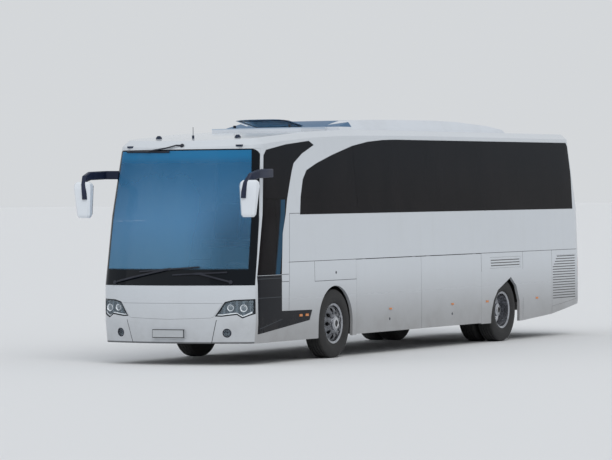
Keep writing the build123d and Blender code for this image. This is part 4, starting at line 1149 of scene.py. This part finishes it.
# Amber lenses on the lamps that ride on flaps: middle x, side, body; then the lens's middle and half sizes
flap_lamps = (
    (1.347, 1, "luggage_flap_left_front"),
    (-0.874, 1, "luggage_flap_left_rear"),
    (1.347, -1, "luggage_flap_right_front"),
    (-0.820, -1, "luggage_flap_right_rear"),
)
lens_y, lens_z = 1.2835, 0.675
lens_half = (0.046, 0.0025, 0.0155)
for number, (x, side, body) in enumerate(flap_lamps):
    middle = (x, side * lens_y, lens_z)
    m = bmesh.new()
    block(m, [a - b for a, b in zip(middle, lens_half)], [a + b for a, b in zip(middle, lens_half)], 0.002, 2)
    shade_by_angle(m)
    new_piece("flap_lens_%d" % number, m, node_finish["side_markers"], body)


# Blank number plate on its holder
plate = bmesh.new()
block(plate, (5.9921, -0.258, 0.4035), (5.9945, 0.258, 0.5135), 0.0008, 1)
shade_by_angle(plate)
new_piece("number_plate_front", plate, plate_white(), "coach")


# Floor, light and camera
def stage():
    """A wide pale floor."""
    m = bmesh.new()
    bmesh.ops.create_grid(m, x_segments=2, y_segments=2, size=600)
    data = as_mesh(m)
    data.name = "floor"
    floor = bpy.data.objects.new("floor", data)
    bpy.context.scene.collection.objects.link(floor)
    f = Finish("pale_floor")
    grain = f.noise(2.5, 3.0) * 0.02
    colour = f.mix(grain, (0.70, 0.71, 0.72), (0.66, 0.67, 0.68))
    data.materials.append(f.shader(base_color=colour, roughness=0.8, specular_ior_level=0.1))


def world():
    """Soft studio light, with a pale background for the camera, for gloss and behind glass."""
    made = bpy.data.worlds.new("studio")
    bpy.context.scene.world = made
    made.use_nodes = True
    tree = made.node_tree
    back = tree.nodes["Background"]
    back.inputs["Color"].default_value = (0.93, 0.96, 1.0, 1)
    back.inputs["Strength"].default_value = 0.72
    shown = tree.nodes.new("ShaderNodeBackground")
    shown.inputs["Color"].default_value = (0.66, 0.68, 0.70, 1)
    shown.inputs["Strength"].default_value = 1.0
    path = tree.nodes.new("ShaderNodeLightPath")
    mixer = tree.nodes.new("ShaderNodeMixShader")
    seen = [path.outputs["Is " + kind + " Ray"] for kind in ("Camera", "Glossy", "Transmission")]
    last = seen[0]
    for more in seen[1:]:
        either = tree.nodes.new("ShaderNodeMath")
        either.operation = "MAXIMUM"
        tree.links.new(last, either.inputs[0])
        tree.links.new(more, either.inputs[1])
        last = either.outputs[0]
    tree.links.new(last, mixer.inputs[0])
    tree.links.new(back.outputs[0], mixer.inputs[1])
    tree.links.new(shown.outputs[0], mixer.inputs[2])
    tree.links.new(mixer.outputs[0], tree.nodes["World Output"].inputs[0])


def lamp(name, strength, towards, softness, colour):
    """A broad even lamp that shines from a direction."""
    data = bpy.data.lights.new(name, "SUN")
    data.energy = strength
    data.angle = math.radians(softness)
    data.color = colour
    made = bpy.data.objects.new(name, data)
    made.rotation_mode = "QUATERNION"
    made.rotation_quaternion = Vector(towards).to_track_quat("Z", "Y")
    bpy.context.scene.collection.objects.link(made)


def camera():
    """The photograph's view: turn, tilt and roll found from the bus's own sizes."""
    place = Vector((51.101, 25.896, 2.4685))
    yaw, pitch, roll = math.radians(117.6546), math.radians(0.5926), math.radians(-0.5645)
    focal, width = 3613.49, 612
    level = math.cos(pitch)
    back = Vector((math.sin(yaw) * level, -math.cos(yaw) * level, math.sin(pitch)))
    right = (-back).cross(Vector((0, 0, 1))).normalized()
    up = right.cross(-back)
    turn_right = right * math.cos(roll) + up * math.sin(roll)
    turn_up = up * math.cos(roll) - right * math.sin(roll)
    data = bpy.data.cameras.new("camera")
    data.sensor_width = 36
    data.lens = focal / width * data.sensor_width
    data.clip_start, data.clip_end = 1, 2000
    made = bpy.data.objects.new("camera", data)
    bpy.context.scene.collection.objects.link(made)
    made.matrix_world = Matrix((
        (turn_right.x, turn_up.x, back.x, place.x),
        (turn_right.y, turn_up.y, back.y, place.y),
        (turn_right.z, turn_up.z, back.z, place.z),
        (0, 0, 0, 1),
    ))
    bpy.context.scene.camera = made


stage()
world()
lamp("key", 1.1, (0.55, 0.55, 0.75), 40, (1.0, 0.98, 0.95))
lamp("fill", 0.35, (0.7, -0.5, 0.5), 60, (0.95, 0.97, 1.0))
camera()
bpy.context.scene.view_settings.view_transform = "Standard"
